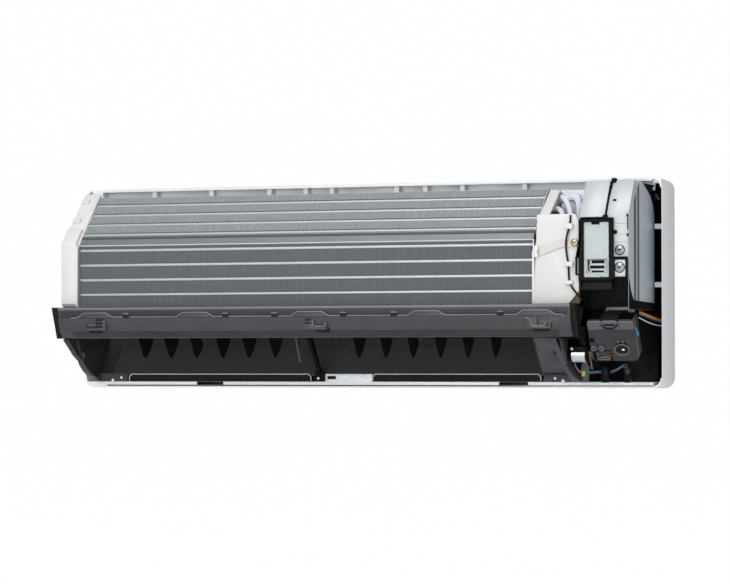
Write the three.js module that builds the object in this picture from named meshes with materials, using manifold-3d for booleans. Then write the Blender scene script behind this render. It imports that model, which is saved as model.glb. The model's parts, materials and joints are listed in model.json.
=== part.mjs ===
// Indoor unit of a split air conditioner, shown with its front cover, filters and louvre taken off.
// Millimetres. X runs along the width, to the right as seen from the room, -Y comes out of the wall
// and +Z is up. The origin is the middle of the casing's back face, which hangs on the wall.
// Places are written as [across, depth, height], where depth is the distance out from the wall.

import * as THREE from "three";
import { mergeVertices } from "three/addons/utils/BufferGeometryUtils.js";
import Module from "manifold-3d";

const wasm = await Module();
wasm.setup();

// Values that every piece shares
const clearance = 0.3; // gap between pieces that touch
const overrun = 2; // how far a cutting shape runs past the face that it cuts
const weldDistance = 1e-4; // corners closer than this are one corner
const degree = Math.PI / 180;
const quarterTurn = Math.PI / 2;
const fullTurn = 2 * Math.PI;
const facets = { small: 6, medium: 8, round: 16, drum: 20 };

const casing = {
  width: 870,
  height: 290,
  depth: 70,
  wall: 2.5,
  rimWall: 0.8,
  rebate: 12,
  corner: 14,
  cornerSteps: 4,
  channelDepth: 23,
  channelHeight: 64,
  channelInset: 40,
  windowWidth: 40,
  windowHeight: 44,
  railHeight: 8.5,
  railReach: 17,
  middleRise: 11,
  slotWidth: 40.5,
  slotHeight: 3.4,
  slotBase: 4,
  lipDrop: 5,
  bandDepth: 18,
  ledgeDepth: 6,
  ledgeHeight: 4,
  ribWidth: 7,
  panelDepth: 6,
  endTabWidth: 14,
  hookSlotWidth: 36,
  hookSlotHeight: 6,
  hookSlotDrop: 40,
  clipWidth: 12,
  clipDepth: 8,
  clipHeight: 7,
  clipReach: 3,
};

// Heights as shares of the casing's height: levels from its middle, and sizes
const heightShares = {
  band: 0.0586,
  clips: [0.269, -0.0086],
  fan: 0.0276,
  frontTop: 0.1914,
  upperRise: 0.05,
  upperLength: 0.2966,
  rearFoot: 0.1986,
  coverTop: 0.2207,
  bracketTop: 0.3121,
  armRise: 0.1241,
  bridges: [0.25, 0.0707, -0.0172],
  strapLow: 0.1379,
  strapHigh: 0.1741,
  boxBottom: -0.131,
  boxWaist: 0.0414,
  boxKnee: 0.2966,
  boxTop: 0.4621,
  boxRearTop: 0.4,
  frameHeight: 0.2941,
  receiverTop: -0.1828,
  receiverHeight: 0.2138,
};
const highOf = (share) => casing.height * share;

const coil = {
  leftMargin: 42,
  rightMargin: 152,
  frontDepth: 178,
  thickness: 25.4,
  rows: 2,
  tubeDiameter: 7,
  grooveHeight: 5.2,
  grooveDepth: 5,
  bendSteps: 2,
  bendStart: 4,
  rightTail: 12,
  sheetWall: 1.5,
  sheetBorder: 2,
};

// Places along the coil, as shares of its length from its left end
const alongShares = {
  middleBlock: [0.4719, 0.5991],
  railSlots: [0.2308, 0.9075],
  leftSeal: [0.0429, 0.463],
  rightSeal: [0.6006, 0.9689],
  leftVanes: 0.1213,
  rightVanes: 0.60355,
  vanePitch: 0.05917,
  strut: 0.4837,
  hanger: 0.463,
};
// Places along the casing, as shares of its width from its left side
const bandShares = {
  ribs: [0.1253, 0.2287, 0.3322, 0.3966, 0.4425, 0.5552, 0.6046, 0.6678, 0.7724],
  panel: [0.4759, 0.5494],
  hookSlots: [0.2126, 0.5, 0.7874],
};
// Places along the pan, as shares of its length from its left end
const panShares = {
  tabs: [0.0752, 0.2749, 0.5029, 0.7315, 0.9369],
  bosses: [0.1398, 0.3405, 0.4373, 0.5712, 0.6687, 0.8709],
  hooks: [0.0765, 0.518, 0.943],
};

const halfWidth = casing.width / 2;
const casingTop = casing.height / 2;
const casingBottom = -casing.height / 2;
const coilLeft = coil.leftMargin - halfWidth;
const coilRight = halfWidth - coil.rightMargin;
const coilLength = coilRight - coilLeft;
const alongCoil = (share) => coilLeft + coilLength * share;
const alongCasing = (share) => casing.width * share - halfWidth;
const tubeRadius = coil.tubeDiameter / 2;
const rowPitch = coil.thickness / coil.rows;

const fan = {
  diameter: 92,
  innerDiameter: 72,
  coilGap: 8.6,
  height: highOf(heightShares.fan),
  endGap: 5,
  blades: 20,
  bladeEdge: 1,
  bladeThickness: 1.3,
  bladeLean: 24,
  bladeBow: 2.2,
  discThickness: 2.4,
  middleDiscs: 2,
  ringBore: 60,
  shaftDiameter: 8,
  stubLength: 12,
  hubDiameter: 26,
  hubLength: 12,
};

const pan = {
  leftReach: 24,
  rightReach: 58,
  front: 201,
  height: 44,
  fanDrop: 39,
  frontDrop: 14,
  ledgeRise: 2,
  endWall: 2.5,
  tongueGap: 7.6,
  tongueAngle: -50,
  tongueWall: 3,
  tabWidth: 54,
  tabShoulder: 9,
  tabHeight: 7.5,
  bossDiameter: 8.5,
  bossProud: 1.4,
  spoutDiameter: 14,
  spoutBore: 10,
  spoutLength: 18,
};
const panLeft = coilLeft - pan.leftReach;
const panRight = coilRight + pan.rightReach;
const panTop = fan.height - pan.fanDrop;
const panBottom = panTop - pan.height;
const alongPan = (share) => panLeft + (panRight - panLeft) * share;

// Fin packs: how far the first and last front tubes are from the pack's ends, and each row's tubes
const frontPack = {
  bottom: panTop - pan.frontDrop,
  top: highOf(heightShares.frontTop),
  margins: [11.1, 5.4],
  tubes: [5, 4],
};
frontPack.length = frontPack.top - frontPack.bottom;
const upperPack = {
  lean: 46,
  setBack: 9.5,
  rise: highOf(heightShares.upperRise),
  length: highOf(heightShares.upperLength),
  margins: [6.5, 16.5],
  tubes: [4, 3],
};
const rearPack = { footDepth: 39.6, gap: 3.2, drop: 1.2, margins: [12, 16], tubes: [3, 3] };
const filler = { rise: 1.2, gap: 0.8 };

const bush = { diameter: 28, nose: 3, groove: 1.5, flange: 1.2 };
const motor = { diameter: 84, length: 42, gap: 7, shaftEntry: 14, bossDiameter: 30, bossLength: 2.5 };
const cradle = { width: 26, reach: 6, rise: 48, drop: 44, strapWall: 3 };

const guide = {
  wall: 2.5,
  startAngle: 150,
  fanGap: 6,
  steps: 14,
  cheekWall: 3,
  cheekShare: 0.75,
  ringWall: 4,
  lipRise: 11,
  cheekSteps: 9,
  ribWall: 2,
  ribShares: [0.12, 0.37, 0.63, 0.88],
  troughFloor: 4,
  troughBack: 9,
  troughRise: 18,
};
const lipSeal = { thickness: 3, chamfer: 4 };

const hook = { width: 33, height: 15, reach: 7, wall: 3, drop: 18, blockShare: 0.42 };
const endFoam = { thickness: 9.5, rightThickness: 7, depth: 20 };

// The outlet between the pan and the casing's lower rail
const railTop = casingBottom + casing.railHeight;
const outletHeight = panBottom - railTop;
const outletShares = { vane: 0.829, hanger: 1, pivot: 0.382, plate: 0.797 };
const outlet = {
  wall: 2.5,
  rim: 8,
  rimWall: 2.4,
  rightReach: 33,
  footReach: 50,
  footHeight: 11.7,
  footDepth: 3.2,
  floorStart: 222,
  floorSteps: 4,
  plateTopDepth: 163,
  plateBottomDepth: 82,
  plateWidth: 40,
  plateLean: 11,
  plateWall: 2.5,
  teeth: 11,
  toothDepth: 5,
  pivotDepth: 128,
  bossDiameter: 10,
  bossLength: 3,
};
const outletRight = coilRight + outlet.rightReach;
const pivotHeight = panBottom - outletHeight * outletShares.pivot;
const plateBottom = panBottom - outletHeight * outletShares.plate;

const vane = {
  count: 6,
  pitch: coilLength * alongShares.vanePitch,
  thickness: 1.8,
  length: outletHeight * outletShares.vane,
  frontChord: 18,
  rearChord: 31,
  topGap: 0.9,
  axisShare: 0.73,
  hubDiameter: 7,
  pinDiameter: 5,
  pinLength: 5,
  crank: 11,
  crankPin: 3.2,
  notchStart: 4.5,
  hubDrop: 6,
};
const linkBar = {
  thickness: 2,
  width: 7,
  topGap: 1.4,
  endReach: 8,
  pinClearance: 0.5,
  tabLength: 38,
  tabWidth: 30,
  tabVane: 2,
};

const strut = {
  width: 5,
  headRise: 3,
  barWidth: 8,
  footWidth: 15,
  footHeight: 14,
  headShares: [2, 1.6, 1],
};
const hanger = {
  width: 3,
  barWidth: 7,
  holeDiameter: 2.6,
  reach: 26,
  drop: outletHeight * outletShares.hanger,
  holeShares: [0.2, 0.42],
};

const louvreMotor = {
  diameter: 21.5,
  length: 21,
  bracketWall: 2,
  bracketWidth: 32,
  bracketHeight: 20,
  hubDiameter: 9,
};
const louvreDrive = { diameter: 10, socket: 5, proud: 1.2 };

const leftCover = {
  wall: 2,
  length: 23,
  lowerFront: 187,
  lowerBack: 146,
  lowerTop: highOf(heightShares.coverTop),
  lowerBottom: panTop + 2 * clearance,
  border: 5,
  lugShares: [0.3, 0.78],
};
const bracket = {
  gap: 2.4,
  width: 63.6,
  top: highOf(heightShares.bracketTop),
  front: 184.5,
  wall: 2.5,
  flange: 1.5,
  flangeReach: 6,
  flangeShare: 0.4,
  returnDepth: 24,
  returnFoot: 20,
  returnShare: 0.8,
  armWidth: 14,
  armBack: 58,
  armRise: highOf(heightShares.armRise),
  armWall: 3,
  bridgeWidth: 9,
  bridgeHeight: 5,
  bridgeReach: 4.5,
};
const bracketLeft = coilRight + bracket.gap;
const bracketRight = bracketLeft + bracket.width;
const strap = {
  wall: 1.2,
  width: 10,
  left: 6.6,
  bend: 38.6,
  right: 60.6,
  lowHeight: highOf(heightShares.strapLow),
  highHeight: highOf(heightShares.strapHigh),
};
const sensorLead = { diameter: 2.2, across: 50.1, bow: 1.6, sweep: 9 };

const box = {
  leftInset: 84,
  rightInset: 18.5,
  back: 26,
  front: 184,
  kneeHeight: highOf(heightShares.boxKnee),
  topDepth: 154,
  top: highOf(heightShares.boxTop),
  rearTopDepth: 92,
  rearTop: highOf(heightShares.boxRearTop),
  bottom: highOf(heightShares.boxBottom),
  bottomDepth: 168,
  waist: highOf(heightShares.boxWaist),
  wall: 2.2,
  footHeight: 16,
  lugWidth: 30,
  lugReach: 20,
  lugShares: [0.35, 0.95],
};
const boxLeft = halfWidth - box.leftInset;
const boxRight = halfWidth - box.rightInset;
const frame = {
  width: 47,
  height: highOf(heightShares.frameHeight),
  thickness: 7,
  border: 5.5,
  bottom: -1,
  squareWidth: 20,
  squareHeight: 28,
  squareBottom: 2.5,
  squareBorder: 2.6,
  handleReach: 5,
  handleBottom: 7.5,
  handleHeight: 25,
  handleWall: 2,
};
const squareTop = frame.squareBottom + frame.squareHeight;
const shield = {
  wall: 1.6,
  seamInset: 36,
  frontGap: 1.5,
  edgeDrop: 0.7,
  sideBack: 48,
  groove: 5,
  grooveDepth: 1,
  groovePlaces: [146, 127],
};
const plate = {
  thickness: 2,
  slotWidth: 19.5,
  slotHeight: 3,
  slotPitch: 6.6,
  slotBase: 6,
  slots: 3,
  notchWidth: 12,
  notchHeight: 4,
};

const liner = { rightInset: 17, topGap: 4, bottomRise: 9, wall: 2.2, corner: 9, notchGap: 3.5 };

const receiver = {
  leftInset: 71,
  width: 64,
  height: highOf(heightShares.receiverHeight),
  depth: 22,
  topDepth: 199,
  topHeight: highOf(heightShares.receiverTop),
  tilt: 28,
  wall: 2,
  boardWall: 1.6,
  boardGap: 7,
  cupDiameter: 21,
  holeWidth: 5,
  guideDiameter: 6.5,
  guideBore: 3,
  latchWidth: 24,
  latchHeight: 12,
};
const receiverLeft = halfWidth - receiver.leftInset;
// Places on the receiver's cover, as shares of its width and of its height
const receiverShares = {
  cup: [0.68, 0.3],
  squareHoles: [0.04, 0.86],
  squareRise: 0.58,
  guides: [0.12, 0.28],
  guideRise: 0.36,
  latch: 0.3,
};
const testButton = { width: 15, height: 5, length: 7.8, across: 10, rise: 8 };

const gasPipe = { diameter: 11, rise: 4, tail: 170, frontDepth: 150 };
const liquidPipe = { diameter: 8, tail: 170, topDepth: 110, rise: 44 };
const linkPipe = { diameter: 7 };
const pipeBend = { radius: 16, steps: 3 };
const lead = { diameter: 3.4, bendRadius: 7 };
const harness = { diameter: 4.2, bendRadius: 8, drop: 8 };

// Planes that several pieces share
const fanRadius = fan.diameter / 2;
const fanDepth = coil.frontDepth - coil.thickness - fan.coilGap - fanRadius;
const fanHeight = fan.height;
const fanLeft = coilLeft + fan.endGap;
const fanRight = coilRight - fan.endGap;

const paint = {
  white: new THREE.MeshStandardMaterial({ color: 0xe9ecef, roughness: 0.45, metalness: 0 }),
  softWhite: new THREE.MeshStandardMaterial({ color: 0xf0eeee, roughness: 0.6, metalness: 0 }),
  slate: new THREE.MeshStandardMaterial({ color: 0x4b4b52, roughness: 0.5, metalness: 0 }),
  charcoal: new THREE.MeshStandardMaterial({ color: 0x37383a, roughness: 0.6, metalness: 0 }),
  black: new THREE.MeshStandardMaterial({ color: 0x131315, roughness: 0.5, metalness: 0 }),
  foam: new THREE.MeshStandardMaterial({ color: 0x2a241f, roughness: 0.95, metalness: 0 }),
  rubber: new THREE.MeshStandardMaterial({ color: 0x1b1b1d, roughness: 0.85, metalness: 0 }),
  steel: new THREE.MeshStandardMaterial({ color: 0xb9c2c8, roughness: 0.35, metalness: 0.9 }),
  aluminium: new THREE.MeshStandardMaterial({ color: 0x8f999c, roughness: 0.45, metalness: 0.8 }),
  copper: new THREE.MeshStandardMaterial({ color: 0xb87352, roughness: 0.35, metalness: 0.9 }),
  insulation: new THREE.MeshStandardMaterial({ color: 0xe6ecf2, roughness: 0.8, metalness: 0 }),
  board: new THREE.MeshStandardMaterial({ color: 0x7a4a1e, roughness: 0.6, metalness: 0 }),
  cyanWire: new THREE.MeshStandardMaterial({ color: 0x1d9bc4, roughness: 0.5, metalness: 0 }),
  orangeWire: new THREE.MeshStandardMaterial({ color: 0xd98a1c, roughness: 0.5, metalness: 0 }),
};

// Geometry helpers

/** The point at a place given as [across, depth, height]. */
function at([across, depth, height]) {
  return new THREE.Vector3(across, -depth, height);
}

/** A closed geometry as a solid that can be joined and cut. */
function solidOf(geometry) {
  const loose = geometry.index ? geometry.toNonIndexed() : geometry;
  const bare = new THREE.BufferGeometry().setAttribute("position", loose.getAttribute("position"));
  const welded = mergeVertices(bare, weldDistance);
  const triVerts = new Uint32Array(welded.index.array);
  const vertProperties = welded.getAttribute("position").array;
  return new wasm.Manifold(new wasm.Mesh({ numProp: 3, vertProperties, triVerts }));
}

/** The first solid with the others added to it. */
function join(first, ...others) {
  return others.flat().reduce((whole, piece) => whole.add(piece), first);
}

/** The first solid with the others taken out of it. */
function cut(first, ...others) {
  return others.flat().reduce((whole, piece) => whole.subtract(piece), first);
}

/** A named mesh of a finished solid. */
function meshOf(name, solid, material) {
  const { vertProperties, triVerts } = solid.getMesh();
  const geometry = new THREE.BufferGeometry();
  geometry.setAttribute("position", new THREE.BufferAttribute(vertProperties, 3));
  geometry.setIndex(new THREE.BufferAttribute(triVerts, 1));
  geometry.computeVertexNormals();
  const mesh = new THREE.Mesh(geometry, material);
  mesh.name = name;
  return mesh;
}

function shapeOf(outline) {
  return new THREE.Shape(outline.map(([a, b]) => new THREE.Vector2(a, b)));
}

/** An outline in two directions, run along the direction square to both. */
function prism(outline, origin, first, second, start, end) {
  const third = new THREE.Vector3().crossVectors(first, second);
  const frame = new THREE.Matrix4().makeBasis(first, second, third).setPosition(origin);
  const geometry = new THREE.ExtrudeGeometry(shapeOf(outline), { depth: end - start, bevelEnabled: false });
  geometry.translate(0, 0, start);
  return solidOf(geometry.applyMatrix4(frame));
}

const origin = new THREE.Vector3();
const rightward = new THREE.Vector3(1, 0, 0);
const outward = new THREE.Vector3(0, -1, 0);
const upward = new THREE.Vector3(0, 0, 1);

/** An outline in depth and height, run across the width from left to right. */
function across(outline, left, right) {
  return prism(outline, origin, outward, upward, -right, -left);
}

/** An outline in width and height, run out of the wall from one depth to another. */
function facing(outline, back, front) {
  return prism(outline, origin, rightward, upward, back, front);
}

/** A box between two places on each axis. */
function block([left, right], [back, front], [bottom, top]) {
  const geometry = new THREE.BoxGeometry(right - left, front - back, top - bottom);
  const middle = [(left + right) / 2, (back + front) / 2, (bottom + top) / 2];
  return solidOf(geometry.translate(...at(middle).toArray()));
}

/** A round bar between two places. */
function rod(diameter, start, end, sides) {
  const from = at(start);
  const along = at(end).sub(from);
  const geometry = new THREE.CylinderGeometry(diameter / 2, diameter / 2, along.length(), sides);
  const axis = new THREE.Vector3(0, 1, 0);
  const turn = new THREE.Quaternion().setFromUnitVectors(axis, along.clone().normalize());
  geometry.applyQuaternion(turn);
  return solidOf(geometry.translate(...from.addScaledVector(along, 1 / 2).toArray()));
}

/** A rectangle about a middle point, with rounded corners. */
function roundedOutline(width, height, radius, steps, middle = [0, 0]) {
  const corners = [[1, 1], [-1, 1], [-1, -1], [1, -1]];
  return corners.flatMap(([side, level], turn) =>
    Array.from({ length: steps + 1 }, (_, i) => {
      const angle = (turn + i / steps) * quarterTurn;
      return [
        middle[0] + side * (width / 2 - radius) + radius * Math.cos(angle),
        middle[1] + level * (height / 2 - radius) + radius * Math.sin(angle),
      ];
    }),
  );
}

/** A circle as an outline. */
function circleOutline(diameter, sides, middle = [0, 0]) {
  return Array.from({ length: sides }, (_, i) => {
    const angle = (i / sides) * fullTurn;
    return [middle[0] + (diameter / 2) * Math.cos(angle), middle[1] + (diameter / 2) * Math.sin(angle)];
  });
}

/** A round hole for a bar of some diameter, whose flats clear the bar. */
function boreDiameter(diameter, sides, gap = clearance) {
  return (diameter + 2 * gap) / Math.cos(Math.PI / sides);
}

/** An open line of points given a thickness on its left side, as a closed outline. */
function ribbonOutline(points, thickness) {
  const vectors = points.map(([a, b]) => new THREE.Vector2(a, b));
  const leftOf = (from, to) => new THREE.Vector2(from.y - to.y, to.x - from.x).normalize();
  const shifted = vectors.map((point, i) => {
    const before = i > 0 ? leftOf(vectors[i - 1], point) : leftOf(point, vectors[i + 1]);
    const after = i < vectors.length - 1 ? leftOf(point, vectors[i + 1]) : before;
    const bisector = before.clone().add(after).normalize();
    return point.clone().addScaledVector(bisector, thickness / bisector.dot(before));
  });
  return [...points, ...shifted.reverse().map((point) => point.toArray())];
}

/** A path through chosen stations, with a section at each station. */
class Route extends THREE.Curve {
  constructor(stations) {
    super();
    this.stations = stations;
  }

  getPoint(t, target = new THREE.Vector3()) {
    const place = t * (this.stations.length - 1);
    const index = Math.min(Math.floor(place), this.stations.length - 2);
    return target.lerpVectors(this.stations[index], this.stations[index + 1], place - index);
  }

  getTangent(t, target = new THREE.Vector3()) {
    const index = Math.round(t * (this.stations.length - 1));
    const before = this.stations[Math.max(index - 1, 0)];
    const here = this.stations[index];
    const after = this.stations[Math.min(index + 1, this.stations.length - 1)];
    const incoming = here.clone().sub(before).normalize();
    return target.subVectors(after, here).normalize().add(incoming).normalize();
  }

  getUtoTmapping(u) {
    return u;
  }
}

// How much of its shorter leg a bend may take, between two bends and beside an end
const innerRoomShare = 0.5;
const endRoomShare = 0.83;

/** Stations along a line of corners, with each inner corner rounded. */
function roundedStations(corners, radius, steps) {
  const points = corners.map(at);
  const stations = [points[0]];
  for (let i = 1; i < points.length - 1; i += 1) {
    const corner = points[i];
    const incoming = corner.clone().sub(points[i - 1]);
    const outgoing = points[i + 1].clone().sub(corner);
    const inner = i > 1 && i < points.length - 2;
    const shorter = Math.min(incoming.length(), outgoing.length());
    const room = shorter * (inner ? innerRoomShare : endRoomShare);
    incoming.normalize();
    outgoing.normalize();
    const turn = incoming.angleTo(outgoing);
    const setback = Math.min(radius * Math.tan(turn / 2), room);
    const bendRadius = setback / Math.tan(turn / 2);
    const inward = outgoing.clone().addScaledVector(incoming, -incoming.dot(outgoing)).normalize();
    const start = corner.clone().addScaledVector(incoming, -setback);
    const centre = start.clone().addScaledVector(inward, bendRadius);
    const axis = new THREE.Vector3().crossVectors(incoming, outgoing).normalize();
    const spoke = start.clone().sub(centre);
    for (let step = 0; step <= steps; step += 1) {
      stations.push(centre.clone().add(spoke.clone().applyAxisAngle(axis, (turn * step) / steps)));
    }
  }
  stations.push(points[points.length - 1]);
  const apart = (station, i) => i === 0 || station.distanceTo(stations[i - 1]) > clearance;
  return stations.filter(apart);
}

/** A round tube, pipe or lead through stations. */
function tubeOf(stations, diameter, sides) {
  const section = shapeOf(circleOutline(diameter, sides));
  const extrudePath = new Route(stations);
  const options = { steps: stations.length - 1, extrudePath, bevelEnabled: false };
  return solidOf(new THREE.ExtrudeGeometry(section, options));
}

function range(count) {
  return Array.from({ length: count }, (_, i) => i);
}

// Coil layout. Each fin pack has a frame at its lower edge: "along" climbs its face and "inner" goes into it.

/** The frame of a fin pack in depth and height. */
function packFrame(corner, lean) {
  const along = [-Math.sin(lean * degree), Math.cos(lean * degree)];
  return { corner, lean, along, inner: [-along[1], along[0]] };
}

/** The place in depth and height that is so far up a pack and so far into it. */
function onPack({ corner, along, inner }, up, deep) {
  return [corner[0] + along[0] * up + inner[0] * deep, corner[1] + along[1] * up + inner[1] * deep];
}

/** How far up a pack and how far into it a place in depth and height is. */
function inPack({ corner, along, inner }, place) {
  const offset = [place[0] - corner[0], place[1] - corner[1]];
  return [offset[0] * along[0] + offset[1] * along[1], offset[0] * inner[0] + offset[1] * inner[1]];
}

const frontTop = frontPack.bottom + frontPack.length;
const frontFrame = packFrame([coil.frontDepth, frontPack.bottom], 0);
const upperFoot = [coil.frontDepth - upperPack.setBack, frontTop + upperPack.rise];
const upperFrame = packFrame(upperFoot, upperPack.lean);
const upperBackTop = onPack(upperFrame, upperPack.length, coil.thickness);
const rearTop = [upperBackTop[0] - rearPack.gap, upperBackTop[1] - rearPack.drop];
const rearFoot = [rearPack.footDepth, highOf(heightShares.rearFoot)];
const rearRun = [rearTop[0] - rearFoot[0], rearTop[1] - rearFoot[1]];
rearPack.length = Math.hypot(...rearRun);
const rearFrame = packFrame(rearFoot, -Math.atan2(...rearRun) / degree);
const packs = [
  { name: "front_fin_pack", frame: frontFrame, sizes: frontPack, grooved: true, notched: false },
  { name: "upper_fin_pack", frame: upperFrame, sizes: upperPack, grooved: true, notched: true },
  { name: "rear_fin_pack", frame: rearFrame, sizes: rearPack, grooved: false, notched: false },
];

/** The distance between a pack's tubes, which are spread over its length. */
function tubePitch({ length, margins, tubes }) {
  return (length - margins[0] - margins[1]) / (tubes[0] - 1);
}

/** Heights up a pack and depths into it of its tubes, row by row, each row half a pitch higher. */
function tubeSpots(sizes) {
  return sizes.tubes.map((count, row) =>
    range(count).map((i) => [
      sizes.margins[0] + tubePitch(sizes) * (i + row / 2),
      rowPitch * (row + 1 / 2),
    ]),
  );
}

/** Tube places of a pack in the order that the refrigerant visits them, from row to row and upwards. */
function tubeOrder({ frame, sizes }) {
  const [first, second] = tubeSpots(sizes);
  const order = first.flatMap((spot, i) => (second[i] ? [spot, second[i]] : [spot]));
  return order.map((spot) => onPack(frame, ...spot));
}

const tubePlaces = packs.map(tubeOrder);

/** The room that the upper pack leaves for the top of the front pack, in the upper pack's own frame. */
function frontPackRoom() {
  const near = coil.frontDepth - coil.thickness - clearance;
  const far = coil.frontDepth + overrun;
  const top = frontTop + clearance;
  const corners = [[near, frontPack.bottom], [far, frontPack.bottom], [far, top], [near, top]];
  const outline = corners.map((place) => inPack(upperFrame, place)).map(([up, deep]) => [-deep, up]);
  return across(outline, coilLeft - overrun, coilRight + overrun);
}

/** A block of fins with its tube holes, in its own frame: across the width, out of its face and up it. */
function makeFinPack({ name, frame, sizes, grooved, notched }) {
  const spots = tubeSpots(sizes);
  const holeDiameter = boreDiameter(coil.tubeDiameter, facets.small);
  const body = block([coilLeft, coilRight], [-coil.thickness, 0], [0, sizes.length]);
  const holes = spots.flat().map(([up, deep]) => {
    const outline = circleOutline(holeDiameter, facets.small, [-deep, up]);
    return across(outline, coilLeft - overrun, coilRight + overrun);
  });
  const grooves = spots[0].map(([up]) =>
    block(
      [coilLeft - overrun, coilRight + overrun],
      [-coil.grooveDepth, overrun],
      [up - coil.grooveHeight / 2, up + coil.grooveHeight / 2],
    ),
  );
  const group = new THREE.Group();
  group.position.copy(at([0, ...frame.corner]));
  group.rotation.x = -frame.lean * degree;
  const pack = cut(body, holes, grooved ? grooves : [], notched ? frontPackRoom() : []);
  group.add(meshOf(name, pack, paint.aluminium));
  return group;
}

/** One unbroken tube that runs to and fro through the places given, with a bend at each end. */
function serpentine(places) {
  const leftEnd = coilLeft - coil.sheetWall - coil.bendStart;
  const rightEnd = coilRight + coil.sheetWall + coil.bendStart;
  const stations = [at([coilRight + coil.rightTail, ...places[0]])];
  places.slice(1).forEach((place, i) => {
    const side = i % 2 === 0 ? leftEnd : rightEnd;
    const outside = i % 2 === 0 ? -1 : 1;
    const from = at([side, ...places[i]]);
    const to = at([side, ...place]);
    const half = to.clone().sub(from).multiplyScalar(1 / 2);
    const centre = from.clone().add(half);
    range(2 * coil.bendSteps + 1).forEach((step) => {
      const angle = (step / (2 * coil.bendSteps)) * Math.PI;
      const station = centre.clone().addScaledVector(half, -Math.cos(angle));
      stations.push(station.addScaledVector(rightward, outside * half.length() * Math.sin(angle)));
    });
  });
  stations.push(at([coilRight + coil.rightTail, ...places[places.length - 1]]));
  return tubeOf(stations, coil.tubeDiameter, facets.small);
}

/** The steel sheet at one end of the coil, which joins the packs and stands on the casing's back. */
function tubeSheetSolid(left) {
  const right = left + coil.sheetWall;
  const border = coil.sheetBorder;
  const plates = packs.map(({ frame: place, sizes }) => {
    const corners = [
      [-border, -border],
      [sizes.length + border, -border],
      [sizes.length + border, coil.thickness + border],
      [-border, coil.thickness + border],
    ];
    return across(corners.map(([up, deep]) => onPack(place, up, deep)), left, right);
  });
  const heel = onPack(rearFrame, 0, coil.thickness);
  const shoulder = onPack(rearFrame, rearPack.length / 2, coil.thickness);
  const rest = casing.wall + clearance;
  const foot = across([[rest, heel[1]], heel, shoulder, [rest, shoulder[1]]], left, right);
  const holes = tubePlaces.flat().map((place) => {
    const outline = circleOutline(boreDiameter(coil.tubeDiameter, facets.small), facets.small, place);
    return across(outline, left - overrun, right + overrun);
  });
  return cut(join(...plates, foot), holes);
}

/** The light strip that closes the wedge between the front and the upper pack. */
function makeFillerStrip() {
  const floor = frontTop + clearance;
  const front = coil.frontDepth - clearance;
  const tip = onPack(upperFrame, 0, -filler.gap);
  const slope = upperFrame.inner[0] / upperFrame.inner[1];
  const back = tip[0] + (floor - tip[1]) * slope + filler.gap;
  const outline = [[back, floor], [front, floor], [front, floor + filler.rise], tip];
  return meshOf("coil_filler_strip", across(outline, coilLeft, coilRight), paint.steel);
}

function makeCoil() {
  const group = new THREE.Group();
  packs.forEach((pack) => group.add(makeFinPack(pack)));
  const leftSheet = coilLeft - clearance - coil.sheetWall;
  const rightSheet = coilRight + clearance;
  const mainPlaces = [...tubePlaces[0], ...tubePlaces[1]];
  group.add(
    makeFillerStrip(),
    meshOf("main_circuit_tubes", serpentine(mainPlaces), paint.copper),
    meshOf("rear_circuit_tubes", serpentine(tubePlaces[2]), paint.copper),
    meshOf("left_tube_sheet", tubeSheetSolid(leftSheet), paint.steel),
    meshOf("right_tube_sheet", tubeSheetSolid(rightSheet), paint.steel),
  );
  return group;
}

// Casing

const bandBottom = casingTop - highOf(heightShares.band);
const channelTop = casingBottom + casing.channelHeight;
const channelFront = casing.channelDepth + casing.wall;
const channelRight = halfWidth - casing.wall - casing.channelInset;
const gasDrop = channelTop - casing.windowHeight + gasPipe.diameter + lead.diameter;
const liquidDrop = channelTop - 2 * liquidPipe.diameter;
const pipeAcross = boxLeft - (boxLeft - coilRight - motor.gap - motor.length) / 2;

function casingTray() {
  const { width, height, wall, corner, cornerSteps, depth } = casing;
  const outer = roundedOutline(width, height, corner, cornerSteps);
  const inner = roundedOutline(width - 2 * wall, height - 2 * wall, corner - wall, cornerSteps);
  const tray = cut(facing(outer, 0, depth), facing(inner, wall, depth + overrun));
  const roof = channelTop + wall;
  const channel = block([-channelRight, channelRight], [0, channelFront], [casingBottom, roof]);
  return join(tray, channel);
}

/** The rail along the front of the casing's bottom, run into its lower left corner. */
function casingRail() {
  const { width, height, depth, wall, corner, cornerSteps, railReach, middleRise } = casing;
  const [middleLeft, middleRight] = alongShares.middleBlock.map(alongCoil);
  const skin = [depth - wall, depth];
  const envelope = facing(roundedOutline(width, height, corner, cornerSteps), ...skin);
  const rail = block([-halfWidth, coilRight + railReach], skin, [casingBottom, railTop]);
  const middle = block([middleLeft, middleRight], skin, [casingBottom, railTop + middleRise]);
  return join(rail, middle).intersect(envelope);
}

/** The recessed band along the casing's top: lip, web, ledge, ribs, raised panel and end tab. */
function casingBand() {
  const { depth, wall, corner, bandDepth, ledgeDepth, ledgeHeight, ribWidth } = casing;
  const end = halfWidth - corner;
  const webFront = depth - bandDepth;
  const lip = block([-end, end], [depth - wall, depth], [casingTop - casing.lipDrop, casingTop]);
  const web = block([-end, end], [webFront - wall, webFront], [bandBottom, casingTop]);
  const ledge = block(
    [-end, end],
    [webFront - wall, webFront + ledgeDepth],
    [bandBottom, bandBottom + ledgeHeight],
  );
  const ribs = bandShares.ribs.map(alongCasing).map((place) =>
    block(
      [place - ribWidth / 2, place + ribWidth / 2],
      [webFront - wall, depth - wall],
      [bandBottom, casingTop],
    ),
  );
  const panel = block(
    bandShares.panel.map(alongCasing),
    [webFront - wall, webFront + casing.panelDepth],
    [bandBottom, casingTop],
  );
  const endTab = block(
    [-end - wall, -end + casing.endTabWidth],
    [webFront - wall, depth],
    [bandBottom, casingTop - wall / 2],
  );
  return [lip, web, ledge, ...ribs, panel, endTab];
}

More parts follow.
